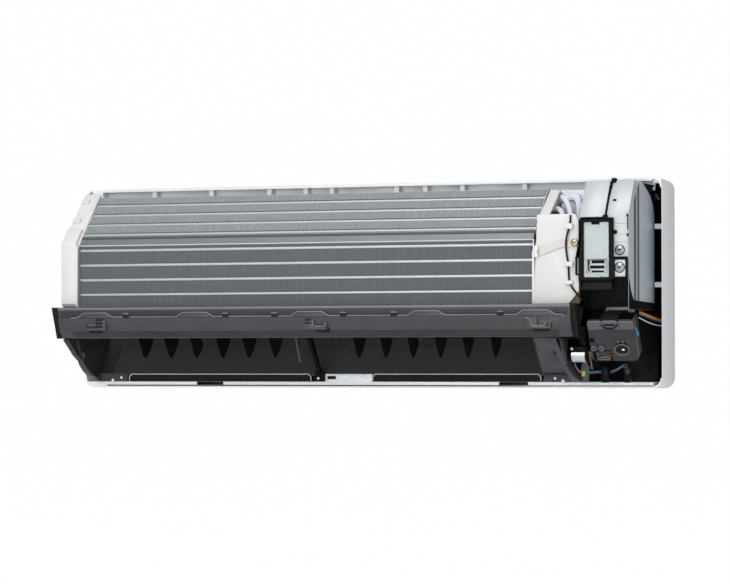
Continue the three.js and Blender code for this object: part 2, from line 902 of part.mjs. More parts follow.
/** The clips for the front cover on the casing's right side. */
function casingClips() {
  const { wall, depth, clipWidth, clipDepth, clipHeight, clipReach } = casing;
  return heightShares.clips.map(highOf).map((height) =>
    block(
      [halfWidth - wall - clipWidth, halfWidth - wall / 2],
      [depth - casing.rebate - clipReach - clipDepth, depth - casing.rebate - clipReach],
      [height - clipHeight / 2, height + clipHeight / 2],
    ),
  );
}

/** The rebate that thins the right side's front edge. */
function casingRebate() {
  const { wall, rimWall, rebate, depth, corner } = casing;
  return block(
    [halfWidth - wall - overrun, halfWidth - rimWall],
    [depth - rebate, depth + overrun],
    [casingBottom + corner, casingTop - corner],
  );
}

function makeCasing() {
  const { wall, depth, slotBase, slotWidth, slotHeight } = casing;
  const { hookSlotWidth, hookSlotHeight, hookSlotDrop } = casing;
  const channelVoid = block(
    [-channelRight + wall, channelRight - wall],
    [-overrun, casing.channelDepth],
    [casingBottom + wall, channelTop],
  );
  const pipeWindow = block(
    [pipeAcross - casing.windowWidth / 2, pipeAcross + casing.windowWidth / 2],
    [casing.channelDepth - overrun, channelFront + overrun],
    [channelTop - casing.windowHeight, channelTop - wall],
  );
  const railSlots = alongShares.railSlots.map(alongCoil).map((place) =>
    block(
      [place - slotWidth / 2, place + slotWidth / 2],
      [depth - wall - overrun, depth + overrun],
      [casingBottom + slotBase, casingBottom + slotBase + slotHeight],
    ),
  );
  const hookSlots = bandShares.hookSlots.map(alongCasing).map((place) => {
    const top = casingTop - hookSlotDrop;
    return block(
      [place - hookSlotWidth / 2, place + hookSlotWidth / 2],
      [-overrun, wall + overrun],
      [top - hookSlotHeight, top],
    );
  });
  const shell = cut(join(casingTray(), casingRail(), casingBand()), casingRebate());
  const whole = join(shell, casingClips());
  return meshOf("rear_casing", cut(whole, channelVoid, pipeWindow, railSlots, hookSlots), paint.white);
}

/** The black panel behind the lower right corner, notched for the pipes. */
function makeLiner() {
  const back = channelFront + clearance;
  const { rightInset, topGap, bottomRise, wall, corner, notchGap } = liner;
  const left = outletRight + notchGap;
  const right = halfWidth - rightInset;
  const top = Math.min(box.bottom, fanHeight - cradle.drop) - topGap;
  const bottom = casingBottom + bottomRise;
  const arc = range(casing.cornerSteps + 1).map((i) => {
    const angle = (i / casing.cornerSteps - 1) * quarterTurn;
    return [right - corner + corner * Math.cos(angle), bottom + corner + corner * Math.sin(angle)];
  });
  const outline = [[left, bottom], ...arc, [right, top], [left, top]];
  const reach = gasPipe.diameter / 2 + notchGap;
  const notch = block(
    [pipeAcross - reach, pipeAcross + reach],
    [back - overrun, back + wall + overrun],
    [bottom - overrun, liquidDrop + reach],
  );
  return meshOf("compartment_liner", cut(facing(outline, back, back + wall), notch), paint.black);
}

// Air path

const lipDepth = casing.depth - casing.wall;
const guideStart = fanRadius + guide.fanGap;
const lipOffset = [lipDepth - fanDepth, railTop + guide.lipRise - fanHeight];
const lipRadius = Math.hypot(...lipOffset);
const lipAngle = (fullTurn + Math.atan2(lipOffset[1], lipOffset[0])) / degree;
const guideGrowth = Math.log(lipRadius / guideStart) / (lipAngle - guide.startAngle);

/** The place on the spiral guide at an angle about the fan, with a distance behind its face. */
function onGuide(angle, behind) {
  const radius = guideStart * Math.exp(guideGrowth * (angle - guide.startAngle)) + behind;
  return [fanDepth + radius * Math.cos(angle * degree), fanHeight + radius * Math.sin(angle * degree)];
}

function guideAngles(last, steps) {
  return range(steps + 1).map((i) => guide.startAngle + ((last - guide.startAngle) * i) / steps);
}

/** One end wall of the spiral, with a ring round the fan's end. */
function guideCheek(left, bore) {
  const right = left + guide.cheekWall;
  const reach = (lipAngle - guide.startAngle) * guide.cheekShare;
  const angles = guideAngles(guide.startAngle + reach, guide.cheekSteps);
  const edge = angles.map((angle) => onGuide(angle, guide.wall / 2));
  const sector = across([...edge, [fanDepth, fanHeight]], left, right);
  const middle = [fanDepth, fanHeight];
  const ring = across(circleOutline(2 * guideStart, facets.drum, middle), left, right);
  const hole = across(circleOutline(bore, facets.drum, middle), left - overrun, right + overrun);
  return cut(join(sector, ring), hole);
}

function makeAirGuide() {
  const angles = guideAngles(lipAngle, guide.steps);
  const inner = angles.map((angle) => onGuide(angle, 0));
  const outer = angles.map((angle) => onGuide(angle, guide.wall)).reverse();
  const sheet = across([...inner, ...outer], coilLeft, coilRight);
  const start = onGuide(guide.startAngle, guide.wall / 2);
  const trough = ribbonOutline(
    [
      start,
      [guide.troughBack + guide.wall, start[1] + guide.troughFloor],
      [guide.troughBack, start[1] + guide.troughFloor + guide.troughRise],
    ],
    guide.wall,
  );
  const backRest = casing.wall + clearance;
  const ribAngles = guideAngles(lipAngle, guide.steps).slice(1, guide.cheekSteps);
  const ribEdge = ribAngles.map((angle) => onGuide(angle, guide.wall / 2));
  const ribOutline = [...ribEdge, [backRest, ribEdge[ribEdge.length - 1][1]], [backRest, ribEdge[0][1]]];
  const ribs = guide.ribShares
    .map(alongCoil)
    .map((place) => across(ribOutline, place - guide.ribWall / 2, place + guide.ribWall / 2));
  const leftCheek = guideCheek(coilLeft, bush.diameter - 2 * bush.groove + 2 * clearance);
  const rightCheek = guideCheek(coilRight - guide.cheekWall, 2 * (guideStart - guide.ringWall / 2));
  const whole = join(sheet, across(trough, coilLeft, coilRight), ribs, leftCheek, rightCheek);
  return meshOf("air_guide", whole, paint.charcoal);
}

/** A dark strip on the rail that covers the guide's edge, with cut corners at its ends. */
function makeLipSeal(name, [left, right]) {
  const { thickness, chamfer } = lipSeal;
  const bottom = railTop + clearance;
  const top = railTop + guide.lipRise;
  const outline = [
    [left, bottom],
    [right, bottom],
    [right, top - chamfer],
    [right - chamfer, top],
    [left + chamfer, top],
    [left, top - chamfer],
  ];
  const back = lipDepth + clearance;
  return meshOf(name, facing(outline, back, back + thickness), paint.foam);
}

const tongue = [
  fanDepth + (fanRadius + pan.tongueGap) * Math.cos(pan.tongueAngle * degree),
  fanHeight + (fanRadius + pan.tongueGap) * Math.sin(pan.tongueAngle * degree),
];
// The pan's section, as shares of its height: back from its front edge and down from its top edge
const panFaceShares = [[0, 0], [0.08, 0.34], [0.034, 0.352], [0.18, 0.79], [0.33, 0.95], [0.41, 1]];
const panTroughShares = [[1.3, 0.36], [1.16, 0.45], [0.25, 0.49], [0.11, 0.07], [0.068, 0]];
const panHeelShares = [-0.125, 0.333];

function inPan([back, down]) {
  return [pan.front - pan.height * back, panTop - pan.height * down];
}

const panFace = panFaceShares.map(inPan);
const panLip = panFace[panFace.length - 1];
const panHeel = [tongue[0] - pan.height * panHeelShares[0], tongue[1] - pan.height * panHeelShares[1]];
const ledgeHeight = panFace[1][1];
const ledgeDepth = panFace[1][0];

/** The pan's outline in depth and height, with or without the trough that catches the water. */
function panOutline(withTrough) {
  const tongueInside = [tongue[0] + pan.tongueWall, tongue[1] + pan.tongueWall / 4];
  const trough = panTroughShares.map(inPan);
  const inside = withTrough ? [tongueInside, ...trough] : [tongueInside, trough[trough.length - 1]];
  return [...inside, ...panFace, panHeel, tongue].reverse();
}

/** The direction of the pan's underside, from its front lip to its heel, and the vanes' axis on it. */
const underside = new THREE.Vector2(panHeel[0] - panLip[0], panHeel[1] - panLip[1]);
const vaneTilt = Math.atan2(underside.y, -underside.x);
const vaneAxisPlace = [panLip[0] + underside.x * vane.axisShare, panLip[1] + underside.y * vane.axisShare];
const vaneUp = [Math.sin(vaneTilt), Math.cos(vaneTilt)];

const leftVaneStart = alongCoil(alongShares.leftVanes);
const rightVaneStart = alongCoil(alongShares.rightVanes);

function vanePlaces(start) {
  return range(vane.count).map((i) => start + vane.pitch * i);
}

/** The place in depth and height that is so far up the vanes' axis. */
function onVaneAxis(up) {
  return [vaneAxisPlace[0] + vaneUp[0] * up, vaneAxisPlace[1] + vaneUp[1] * up];
}

function panPivotHoles() {
  const bottom = onVaneAxis(-overrun);
  const top = onVaneAxis(vane.pinLength + clearance);
  const diameter = boreDiameter(vane.pinDiameter, facets.small);
  return [...vanePlaces(leftVaneStart), ...vanePlaces(rightVaneStart)].map((place) =>
    rod(diameter, [place, ...bottom], [place, ...top], facets.small),
  );
}

/** A hook on the pan's face: a block with an arm beside it that turns up at its end. */
function panHook(place, side) {
  const { width, height, reach, wall, drop, blockShare } = hook;
  const top = panTop - drop;
  const floor = top - height + wall;
  const span = (from, to) => (side > 0 ? [place + from, place + to] : [place - to, place - from]);
  const depth = [ledgeDepth - 2 * reach, ledgeDepth + reach / 2];
  return [
    block(span(-width / 2, width * blockShare - width / 2), depth, [floor, top]),
    block(span(-width / 2, width / 2), depth, [floor - wall, floor]),
    block(span(width / 2 - wall, width / 2), depth, [floor, floor + height / 3]),
  ];
}

/** The post with two holes that hangs under the pan beside the strut. */
function hangerPost() {
  const { width, barWidth, holeDiameter, reach, drop, holeShares } = hanger;
  const place = alongCoil(alongShares.hanger);
  const foot = [panHeel[0] - reach, panHeel[1] - drop];
  const outline = [
    [panHeel[0] + barWidth, panHeel[1] - barWidth / 8],
    panHeel,
    [foot[0] - barWidth / 2, foot[1] + barWidth / 3],
    foot,
    [foot[0] + barWidth / 2, foot[1] + barWidth / 3],
  ];
  const holes = holeShares.map((share) => {
    const middle = [foot[0] + (panHeel[0] - foot[0]) * share, foot[1] + (panHeel[1] - foot[1]) * share];
    return across(circleOutline(holeDiameter, facets.small, middle), place - width, place + width);
  });
  return cut(across(outline, place - width / 2, place + width / 2), holes);
}

/** The raised shapes on the pan's front ledge. */
function panLedgeShapes() {
  const half = pan.tabWidth / 2;
  const { tabShoulder, tabHeight, ledgeRise, bossDiameter } = pan;
  const tabs = panShares.tabs.map(alongPan).map((place) => {
    const outline = [
      [place - half, ledgeHeight],
      [place + half, ledgeHeight],
      [place + half - tabShoulder, ledgeHeight + tabHeight],
      [place - half + tabShoulder, ledgeHeight + tabHeight],
    ];
    return facing(outline, ledgeDepth - ledgeRise, ledgeDepth + ledgeRise);
  });
  const bossHeight = ledgeHeight + bossDiameter / 2;
  const bosses = panShares.bosses.map(alongPan).map((place) =>
    rod(
      bossDiameter,
      [place, ledgeDepth - ledgeRise, bossHeight],
      [place, ledgeDepth + ledgeRise + pan.bossProud, bossHeight],
      facets.medium,
    ),
  );
  return [...tabs, ...bosses];
}

function makeDrainPan() {
  const { endWall, spoutDiameter, spoutBore, spoutLength } = pan;
  const trough = across(panOutline(true), panLeft, panRight);
  const ends = [
    across(panOutline(false), panLeft, panLeft + endWall),
    across(panOutline(false), panRight - endWall, panRight),
  ];
  const hooks = panShares.hooks.map(alongPan).flatMap((place, i) => panHook(place, i === 0 ? -1 : 1));
  const spoutAcross = panRight - spoutDiameter;
  const spoutHeight = panHeel[1] + spoutDiameter / 2;
  const spoutEnd = panHeel[0] - spoutLength;
  const spout = rod(
    spoutDiameter,
    [spoutAcross, spoutEnd, spoutHeight],
    [spoutAcross, panHeel[0], spoutHeight],
    facets.medium,
  );
  const bore = rod(
    spoutBore,
    [spoutAcross, spoutEnd - overrun, spoutHeight],
    [spoutAcross, panHeel[0] + 3 * pan.tongueWall, spoutHeight],
    facets.medium,
  );
  const whole = join(trough, ends, panLedgeShapes(), hooks, spout, hangerPost());
  return meshOf("drain_pan", cut(whole, panPivotHoles(), bore), paint.slate);
}

/** A foam pad on one end of the pan, which seals it against the front cover. */
function makeEndFoam(name, left, right) {
  const outline = [
    [pan.front, panTop],
    panLip,
    [panLip[0] - endFoam.depth / 2, panBottom],
    [pan.front - endFoam.depth, panTop],
  ];
  return meshOf(name, across(outline.reverse(), left, right), paint.foam);
}

// The outlet end walls' lower edge, as shares of the way from the pan's lip to the rail: back and down
const endCurveShares = [[0.1, 0.12], [0.28, 0.36], [0.5, 0.56], [0.72, 0.8], [0.88, 0.95], [1, 1]];

/** One end wall of the outlet: a curved rim, its share of the spiral floor and a foot on the rail. */
function endWallSolid(left, inward, floorSpan) {
  const right = left + outlet.wall;
  const top = panBottom - clearance - outlet.rimWall;
  const footFront = lipDepth + clearance + outlet.footDepth;
  const floor = railTop + clearance;
  const curve = [
    [panLip[0], top],
    ...endCurveShares.map(([back, down]) => [
      panLip[0] + (footFront - panLip[0]) * back,
      top + (floor - top) * down,
    ]),
  ];
  const { floorSteps, floorStart } = outlet;
  const angles = range(floorSteps + 1).map((i) => lipAngle - ((lipAngle - floorStart) * i) / floorSteps);
  const behind = angles.map((angle) => onGuide(angle, guide.wall));
  const face = angles.map((angle) => onGuide(angle, 0));
  const ceiling = [
    [fanDepth - fanRadius, panBottom + pan.height / 3],
    [panHeel[0], panHeel[1] - 4 * clearance],
  ];
  const wall = across([...curve, [lipDepth - clearance, floor], ...behind, ...ceiling], left, right);
  const rimSpan = inward > 0 ? [left, left + outlet.rim] : [right - outlet.rim, right];
  const rim = across(ribbonOutline(curve, -outlet.rimWall).reverse(), ...rimSpan);
  const footSpan = inward > 0 ? [left, left + outlet.footReach] : [right - outlet.footReach, right];
  const foot = block(footSpan, [lipDepth + clearance, footFront], [floor, floor + outlet.footHeight]);
  const spiral = across([...face, ...behind.reverse()].reverse(), ...floorSpan);
  return join(wall, rim, foot, spiral);
}

function makeLeftEnd() {
  const left = panLeft;
  const inside = left + outlet.wall;
  const { pivotDepth, bossDiameter, bossLength } = outlet;
  const axis = [pivotDepth, pivotHeight];
  const boss = rod(bossDiameter, [left, ...axis], [inside + bossLength, ...axis], facets.round);
  const boreEnd = inside + bossLength + overrun;
  const bore = rod(bossDiameter / 2, [left - overrun, ...axis], [boreEnd, ...axis], facets.medium);
  const walls = endWallSolid(left, 1, [left, coilLeft - clearance]);
  return meshOf("outlet_end_left", cut(join(walls, boss), bore), paint.charcoal);
}

/** The sloping plate beside the right end wall, whose left edge is toothed. */
function toothedPlate() {
  const { plateTopDepth, plateBottomDepth, plateWall, teeth, toothDepth, plateWidth, plateLean } = outlet;
  const top = at([0, plateTopDepth, panBottom - 4 * clearance]);
  const bottom = at([0, plateBottomDepth, plateBottom]);
  const down = bottom.clone().sub(top);
  const length = down.length();
  down.normalize();
  const left = outletRight - plateWidth;
  const edge = range(2 * teeth + 1).map((i) => {
    const share = i / (2 * teeth);
    return [left - plateLean * share + (i % 2) * toothDepth, length * share];
  });
  const outline = [[outletRight, 0], ...edge, [outletRight, length]];
  return prism(outline, top, rightward, down, 0, plateWall);
}

function makeRightEnd() {
  const left = outletRight - outlet.wall;
  const axis = [outlet.pivotDepth, pivotHeight];
  const bearing = rod(
    boreDiameter(louvreDrive.diameter, facets.round),
    [left - overrun, ...axis],
    [outletRight + overrun, ...axis],
    facets.round,
  );
  const plateHole = rod(
    louvreDrive.diameter + outlet.plateWall,
    [left - 2 * outlet.rim, ...axis],
    [left, ...axis],
    facets.round,
  );
  const floorSpan = [coilRight + clearance, outletRight];
  const whole = join(endWallSolid(left, -1, floorSpan), toothedPlate());
  return meshOf("outlet_end_right", cut(whole, bearing, plateHole), paint.slate);
}

/** The strut that ties the middle of the pan to the lip. */
function makeStrut() {
  const { width, headRise, barWidth, footWidth, footHeight, headShares } = strut;
  const place = alongCoil(alongShares.strut);
  const half = width / 2;
  const slope = underside.y / underside.x;
  const ceiling = (depth, drop) => [depth, panLip[1] + (depth - panLip[0]) * slope - drop];
  const headFront = panHeel[0] + barWidth * headShares[0];
  const neck = [panHeel[0] - barWidth * headShares[1], panHeel[1] - barWidth * headShares[2]];
  const footFace = casing.depth + clearance;
  const foot = [footFace + outlet.footDepth, railTop + footHeight];
  const bar = across(
    [
      ceiling(headFront, headRise / 2),
      ceiling(panHeel[0] + clearance, headRise / 2),
      [neck[0], neck[1] + barWidth / 2],
      [foot[0] - barWidth / 2, foot[1]],
      [foot[0], foot[1] - barWidth / 2],
      [neck[0] + barWidth, neck[1] - barWidth / 2],
      ceiling(headFront, headRise + headRise / 2),
    ],
    place - half,
    place + half,
  );
  const footPlate = block(
    [place - footWidth / 2, place + footWidth / 2],
    [footFace, footFace + outlet.footDepth],
    [railTop + clearance, railTop + footHeight + barWidth / 4],
  );
  return meshOf("centre_strut", join(bar, footPlate), paint.black);
}

function makeAirPath() {
  const group = new THREE.Group();
  const leftFoamRight = panLeft - clearance;
  const rightFoamLeft = panRight + clearance;
  group.add(
    makeAirGuide(),
    makeLipSeal("lip_seal_left", alongShares.leftSeal.map(alongCoil)),
    makeLipSeal("lip_seal_right", alongShares.rightSeal.map(alongCoil)),
    makeDrainPan(),
    makeLeftEnd(),
    makeRightEnd(),
    makeEndFoam("end_foam_left", leftFoamRight - endFoam.thickness, leftFoamRight),
    makeEndFoam("end_foam_right", rightFoamLeft, rightFoamLeft + endFoam.rightThickness),
    makeStrut(),
  );
  return group;
}

// Vanes. Each has its own frame on its hinge axis: up the axis, across the width and out along the pan.

// The leaf's edge, as shares of its front or rear chord and of its length
const leafShares = [[1, 0.3], [0.98, 0.6], [0.86, 0.86], [0.7, 0.96], [0.5, 1]];
const tailShares = [[0, 0.99], [-0.35, 0.95], [-0.8, 0.84], [-1, 0.68], [-1, 0.4], [-0.86, 0.2]];
const tailTopShare = -0.7;

/** A vane: a leaf with a hub, a pivot pin above it and a crank pin for the link bar. */
function vaneSolid() {
  const { thickness, length, frontChord, rearChord, topGap, notchStart, crank, hubDrop } = vane;
  const barUnder = linkBar.topGap + linkBar.thickness;
  const notchTop = -barUnder - 2 * clearance;
  const outline = [
    [-notchStart, -topGap],
    [frontChord - 2 * topGap, -topGap],
    ...leafShares.map(([chord, drop]) => [frontChord * chord, -length * drop]),
    ...tailShares.map(([chord, drop]) => [rearChord * chord, -length * drop]),
    [rearChord * tailTopShare, notchTop],
    [-notchStart, notchTop],
  ];
  const leaf = across(outline.reverse(), -thickness / 2, thickness / 2);
  const hub = rod(vane.hubDiameter, [0, 0, -hubDrop], [0, 0, -topGap], facets.small);
  const pin = rod(vane.pinDiameter, [0, 0, -hubDrop / 2], [0, 0, vane.pinLength], facets.small);
  const crankPin = rod(vane.crankPin, [0, -crank, notchTop - thickness], [0, -crank, -topGap], facets.small);
  return join(leaf, hub, pin, crankPin);
}

// The bar's two fingers, on either side of a vane, as shares of their width and of their length
const leftFingerShares = [[-0.5, 0], [-0.14, 0], [-0.14, -0.4], [-0.3, -1], [-0.42, -0.85]];
const rightFingerShares = [[0.14, 0], [0.5, 0], [0.5, -0.6], [0.2, -1], [0.14, -0.8]];

/** The bar that ties a row of vanes together at their crank pins. */
function linkBarSolid() {
  const { thickness, width, topGap, endReach, pinClearance, tabLength, tabWidth } = linkBar;
  const top = -topGap;
  const depth = [-vane.crank - width / 2, -vane.crank + width / 2];
  const length = vane.pitch * (vane.count - 1);
  const bar = block([-endReach, length + endReach], depth, [top - thickness, top]);
  const holes = vanePlaces(0).map((place) =>
    rod(
      boreDiameter(vane.crankPin, facets.small, pinClearance),
      [place, -vane.crank, top - thickness - overrun],
      [place, -vane.crank, top + overrun],
      facets.small,
    ),
  );
  const middle = vane.pitch * linkBar.tabVane;
  const tabs = [leftFingerShares, rightFingerShares].map((shares) => {
    const corners = shares.map(([side, drop]) => [
      middle + tabWidth * side,
      top - thickness / 2 + tabLength * drop,
    ]);
    return facing(corners.reverse(), -vane.crank - thickness / 2, -vane.crank + thickness / 2);
  });
  return cut(join(bar, tabs), holes);
}

function makeVaneRow(side, start) {
  const row = new THREE.Group();
  row.position.copy(at([start, ...vaneAxisPlace]));
  row.rotation.x = vaneTilt;
  vanePlaces(0).forEach((place, i) => {
    const leaf = meshOf(side + "_vane_" + (i + 1), vaneSolid(), paint.charcoal);
    leaf.position.x = place;
    row.add(leaf);
  });
  row.add(meshOf(side + "_link_bar", linkBarSolid(), paint.black));
  return row;
}

// Fan and its motor. The group's X axis is the fan's axis.

/** The outline of one blade, bowed between the inner and the outer diameter. */
function bladeOutline(angle) {
  const inner = fan.innerDiameter / 2;
  const outer = fanRadius - fan.bladeEdge;
  const half = fan.bladeThickness / 2;
  const lean = (fan.bladeLean / 2) * degree;
  const onArc = (share, shift) => {
    const radius = inner + (outer - inner) * share;
    const bow = (fan.bladeBow * 4 * share * (1 - share) + shift) / radius;
    const turn = angle + lean * (2 * share - 1) + bow;
    return [radius * Math.cos(turn), radius * Math.sin(turn)];
  };
  const shares = [0, 1 / 2, 1];
  const inside = shares.map((share) => onArc(share, -half));
  const outside = shares.map((share) => onArc(share, half));
  return [...inside, ...outside.reverse()];
}

function makeFan() {
  const { discThickness, middleDiscs, ringBore, hubDiameter, hubLength, diameter, shaftDiameter } = fan;
  const length = fanRight - fanLeft;
  const disc = (place) => across(circleOutline(diameter, fan.blades), place, place + discThickness);
  const bladeAngles = range(fan.blades).map((i) => ((i + 1 / 2) / fan.blades) * fullTurn);
  const blades = bladeAngles.map((angle) => across(bladeOutline(angle), 0, length));
  const spacing = (length - discThickness) / (middleDiscs + 1);
  const discs = range(middleDiscs + 2).map((i) => disc(spacing * i));
  const rings = range(middleDiscs).map((i) => {
    const place = spacing * (i + 1);
    return across(circleOutline(ringBore, facets.round), place - overrun, place + discThickness + overrun);
  });
  const hub = across(circleOutline(hubDiameter, facets.round), length - hubLength, length);
  const stub = across(circleOutline(shaftDiameter, facets.round), -fan.stubLength, discThickness);
  const bore = across(
    circleOutline(shaftDiameter + 2 * clearance, facets.round),
    length - motor.shaftEntry,
    length + overrun,
  );
  const drum = cut(join(...discs), rings);
  return meshOf("cross_flow_fan", cut(join(drum, blades, hub, stub), bore), paint.charcoal);
}

const motorLeft = coilRight + motor.gap;

function makeFanMotor() {
  const left = motorLeft - fanLeft;
  const { diameter, length, bossDiameter, bossLength } = motor;
  const can = across(circleOutline(diameter, 2 * facets.round), left, left + length);
  const bossOutline = circleOutline(bossDiameter, facets.drum);
  const boss = across(bossOutline, left - bossLength, left + length + bossLength);
  const shaftHole = across(
    circleOutline(fan.shaftDiameter + 2 * clearance, facets.round),
    left - motor.bossLength - overrun,
    left + motor.length / 2,
  );
  return meshOf("fan_motor", cut(join(can, boss), shaftHole), paint.charcoal);
}

function makeMotorShaft() {
  const length = fanRight - fanLeft;
  const start = length - motor.shaftEntry + clearance;
  const end = motorLeft - fanLeft + motor.length / 2 - clearance;
  const outline = circleOutline(fan.shaftDiameter, facets.round);
  return meshOf("motor_shaft", across(outline, start, end), paint.steel);
}

/** The rubber bush of the fan's left end, grooved for the wall that holds it. */
function makeBearingBush() {
  const { diameter, nose, groove, flange } = bush;
  const wallLeft = -fan.endGap - clearance;
  const wallRight = -fan.endGap + guide.cheekWall + clearance;
  const core = across(circleOutline(diameter - 2 * groove, facets.drum), wallLeft - nose, wallRight + flange);
  const flanges = [
    across(circleOutline(diameter, facets.drum), wallLeft - flange, wallLeft),
    across(circleOutline(diameter, facets.drum), wallRight, wallRight + flange),
  ];
  const bore = fan.shaftDiameter + 2 * clearance;
  const boreOutline = circleOutline(bore, facets.round);
  const hole = across(boreOutline, wallLeft - nose - overrun, wallRight + flange + overrun);
  return meshOf("bearing_bush", cut(join(core, flanges), hole), paint.rubber);
}

/** The block that carries the motor on the casing's back. */
function makeCradle() {
  const { width, reach, rise, drop } = cradle;
  const left = motorLeft - fanLeft + (motor.length - width) / 2;
  const rest = casing.wall + clearance - fanDepth;
  const radius = motor.diameter / 2;
  const outline = [
    [rest, -drop],
    [-radius / 2, -drop],
    [0, -radius - reach],
    [0, radius + reach],
    [-radius / 2, rise],
    [rest, rise],
  ];
  const seatDiameter = boreDiameter(motor.diameter, 2 * facets.round);
  const seat = across(circleOutline(seatDiameter, 2 * facets.round), left - overrun, left + width + overrun);
  return meshOf("motor_cradle", cut(across(outline, left, left + width), seat), paint.charcoal);
}

/** The band over the motor's front half. */
function makeClamp() {
  const { width, reach, strapWall } = cradle;
  const left = motorLeft - fanLeft + (motor.length - width) / 2;
  const inner = boreDiameter(motor.diameter, 2 * facets.round) / 2;
  const outer = inner + strapWall;
  const arc = (radius) =>
    range(facets.round + 1).map((i) => {
      const angle = ((2 * i) / facets.round - 1) * quarterTurn;
      return [clearance + radius * Math.cos(angle), radius * Math.sin(angle)];
    });
  const band = across([...arc(outer), ...arc(inner).reverse()], left, left + width);
  const earDepth = [clearance, clearance + strapWall];
  const earInner = inner + clearance;
  const earOuter = motor.diameter / 2 + reach;
  const ears = [
    block([left, left + width], earDepth, [earInner, earOuter]),
    block([left, left + width], earDepth, [-earOuter, -earInner]),
  ];
  return meshOf("motor_clamp", join(band, ears), paint.steel);
}

function makeFanGroup() {
  const group = new THREE.Group();
  group.position.copy(at([fanLeft, fanDepth, fanHeight]));
  group.add(makeFan(), makeMotorShaft(), makeFanMotor(), makeBearingBush(), makeCradle(), makeClamp());
  return group;
}

// Coil covers, strap and pipes

/** A cover over the left tube bends, open towards the coil. */
function coverShell(outline, inner) {
  const right = coilLeft - clearance - coil.sheetWall - clearance;
  const left = right - leftCover.length;
  return cut(across(outline, left, right), across(inner, left + leftCover.wall, right + overrun));
}

function makeLeftLowerCover() {
  const { lowerFront, lowerBack, lowerTop, lowerBottom, wall, border } = leftCover;
  const outline = [
    [lowerBack, lowerBottom],
    [lowerFront - border, lowerBottom],
    [lowerFront, lowerBottom + border],
    [lowerFront, lowerTop - wall],
    [lowerFront - wall, lowerTop],
    [lowerFront - 2 * border, lowerTop],
    [lowerBack, lowerTop - 4 * border],
  ];
  const inner = [
    [lowerBack - overrun, lowerBottom - overrun],
    [lowerFront - border - wall, lowerBottom - overrun],
    [lowerFront - border - wall, lowerBottom + wall],
    [lowerFront - wall, lowerBottom + border + wall],
    [lowerFront - wall, lowerTop - 2 * wall],
    [lowerFront - 2 * border, lowerTop - wall],
    [lowerFront - 2 * border, lowerTop + overrun],
    [lowerBack - overrun, lowerTop + overrun],
  ];
  return meshOf("left_cover_lower", coverShell(outline, inner), paint.softWhite);
}

function makeLeftUpperCover() {
  const { wall, border, length, lugShares } = leftCover;
  const low = border + 2 * wall;
  const high = upperPack.length + border;
  const face = -wall - coil.sheetBorder + clearance;
  const corner = ([up, deep]) => onPack(upperFrame, up, deep);
  const outline = [[low, face], [low, coil.thickness], [high, coil.thickness], [high, face]].map(corner);
  const inner = [
    [low - overrun, face + wall],
    [low - overrun, coil.thickness + overrun],
    [high - wall, coil.thickness + overrun],
    [high - wall, face + wall],
  ].map(corner);
  const right = coilLeft - length / 2;
  const lugs = lugShares.map((share) => {
    const up = upperPack.length * share;
    const root = face + wall / 2;
    const tip = face - border;
    const lug = [[up, root], [up + 2 * border, root], [up + border, tip], [up, tip]];
    return across(lug.map(corner), right - length / 2, right);
  });
  return meshOf("left_cover_upper", join(coverShell(outline, inner), lugs), paint.softWhite);
}

const bracketBottom = panTop + clearance;

// The bracket's face, as shares of its width and of its height
const panelShares = [
  [0, 0], [0.78, 0], [1, 0.14], [1, 0.92], [0.92, 1], [0.08, 1], [0.08, 0.92], [0.04, 0.5],
];

/** The arm of the right bracket, which climbs the upper pack. */
function bracketArm() {
  const { top, front, wall, armWidth, armBack, armRise, armWall } = bracket;
  const left = bracketLeft + armWidth / 2;
  const line = [
    [front, top - armWall - wall],
    [front - armBack, top + armRise],
    [front - armBack - armWidth, top + armRise - armWall],
  ];
  return across(ribbonOutline(line, armWall), left, left + armWidth);
}

/** The bridges that hold the sensor's lead on the bracket. */
function bracketBridges() {
  const { front, wall, bridgeReach, bridgeHeight, bridgeWidth } = bracket;
  const root = front - wall / 2;
  const middle = bracketLeft + sensorLead.across;
  return heightShares.bridges.map(highOf).map((height) =>
    block(
      [middle - bridgeWidth / 2, middle + bridgeWidth / 2],
      [root, front + bridgeReach],
      [height, height + bridgeHeight],
    ),
  );
}

/** The white cover over the right tube ends, with the arm that climbs the upper pack. */
function makeRightBracket() {
  const { width, top, front, wall, flange, flangeReach, returnDepth, returnFoot } = bracket;
  const back = front - wall;
  const height = top - bracketBottom;
  const panelOutline = panelShares.map(([side, level]) => [
    bracketLeft + width * side,
    bracketBottom + height * level,
  ]);
  const panel = facing(panelOutline, back, front);
  const leftFlange = block(
    [bracketLeft, bracketLeft + flange],
    [back - flangeReach, back + wall / 2],
    [bracketBottom, bracketBottom + height * bracket.flangeShare],
  );
  const rightReturn = block(
    [bracketRight - flange, bracketRight],
    [back - returnDepth, back + wall / 2],
    [bracketBottom + returnFoot, top * bracket.returnShare],
  );
  const leadAcross = bracketLeft + sensorLead.across;
  const leadWay = sensorLead.diameter + 2 * clearance;
  const tunnel = block(
    [leadAcross - leadWay / 2, leadAcross + leadWay / 2],
    [front, front + leadWay + clearance],
    [bracketBottom - overrun, top + overrun],
  );
  const whole = join(panel, leftFlange, rightReturn, bracketArm(), bracketBridges());
  return meshOf("right_bracket", cut(whole, tunnel), paint.softWhite);
}

/** The bent strip that holds the sensor's clip on the bracket. */
function makeStrap() {
  const { wall, width, lowHeight, highHeight } = strap;
  const [left, bend, right] = [strap.left, strap.bend, strap.right].map((place) => bracketLeft + place);
  const back = bracket.front + clearance;
  const half = width / 2;
  const outline = [
    [left, lowHeight - half],
    [left + half, lowHeight - half],
    [bend + half / 2, highHeight - half],
    [right, highHeight - half],
    [right, highHeight + half],
    [bend - half / 2, highHeight + half],
    [left, lowHeight + half],
  ];
  return meshOf("sensor_strap", facing(outline, back, back + wall), paint.steel);
}

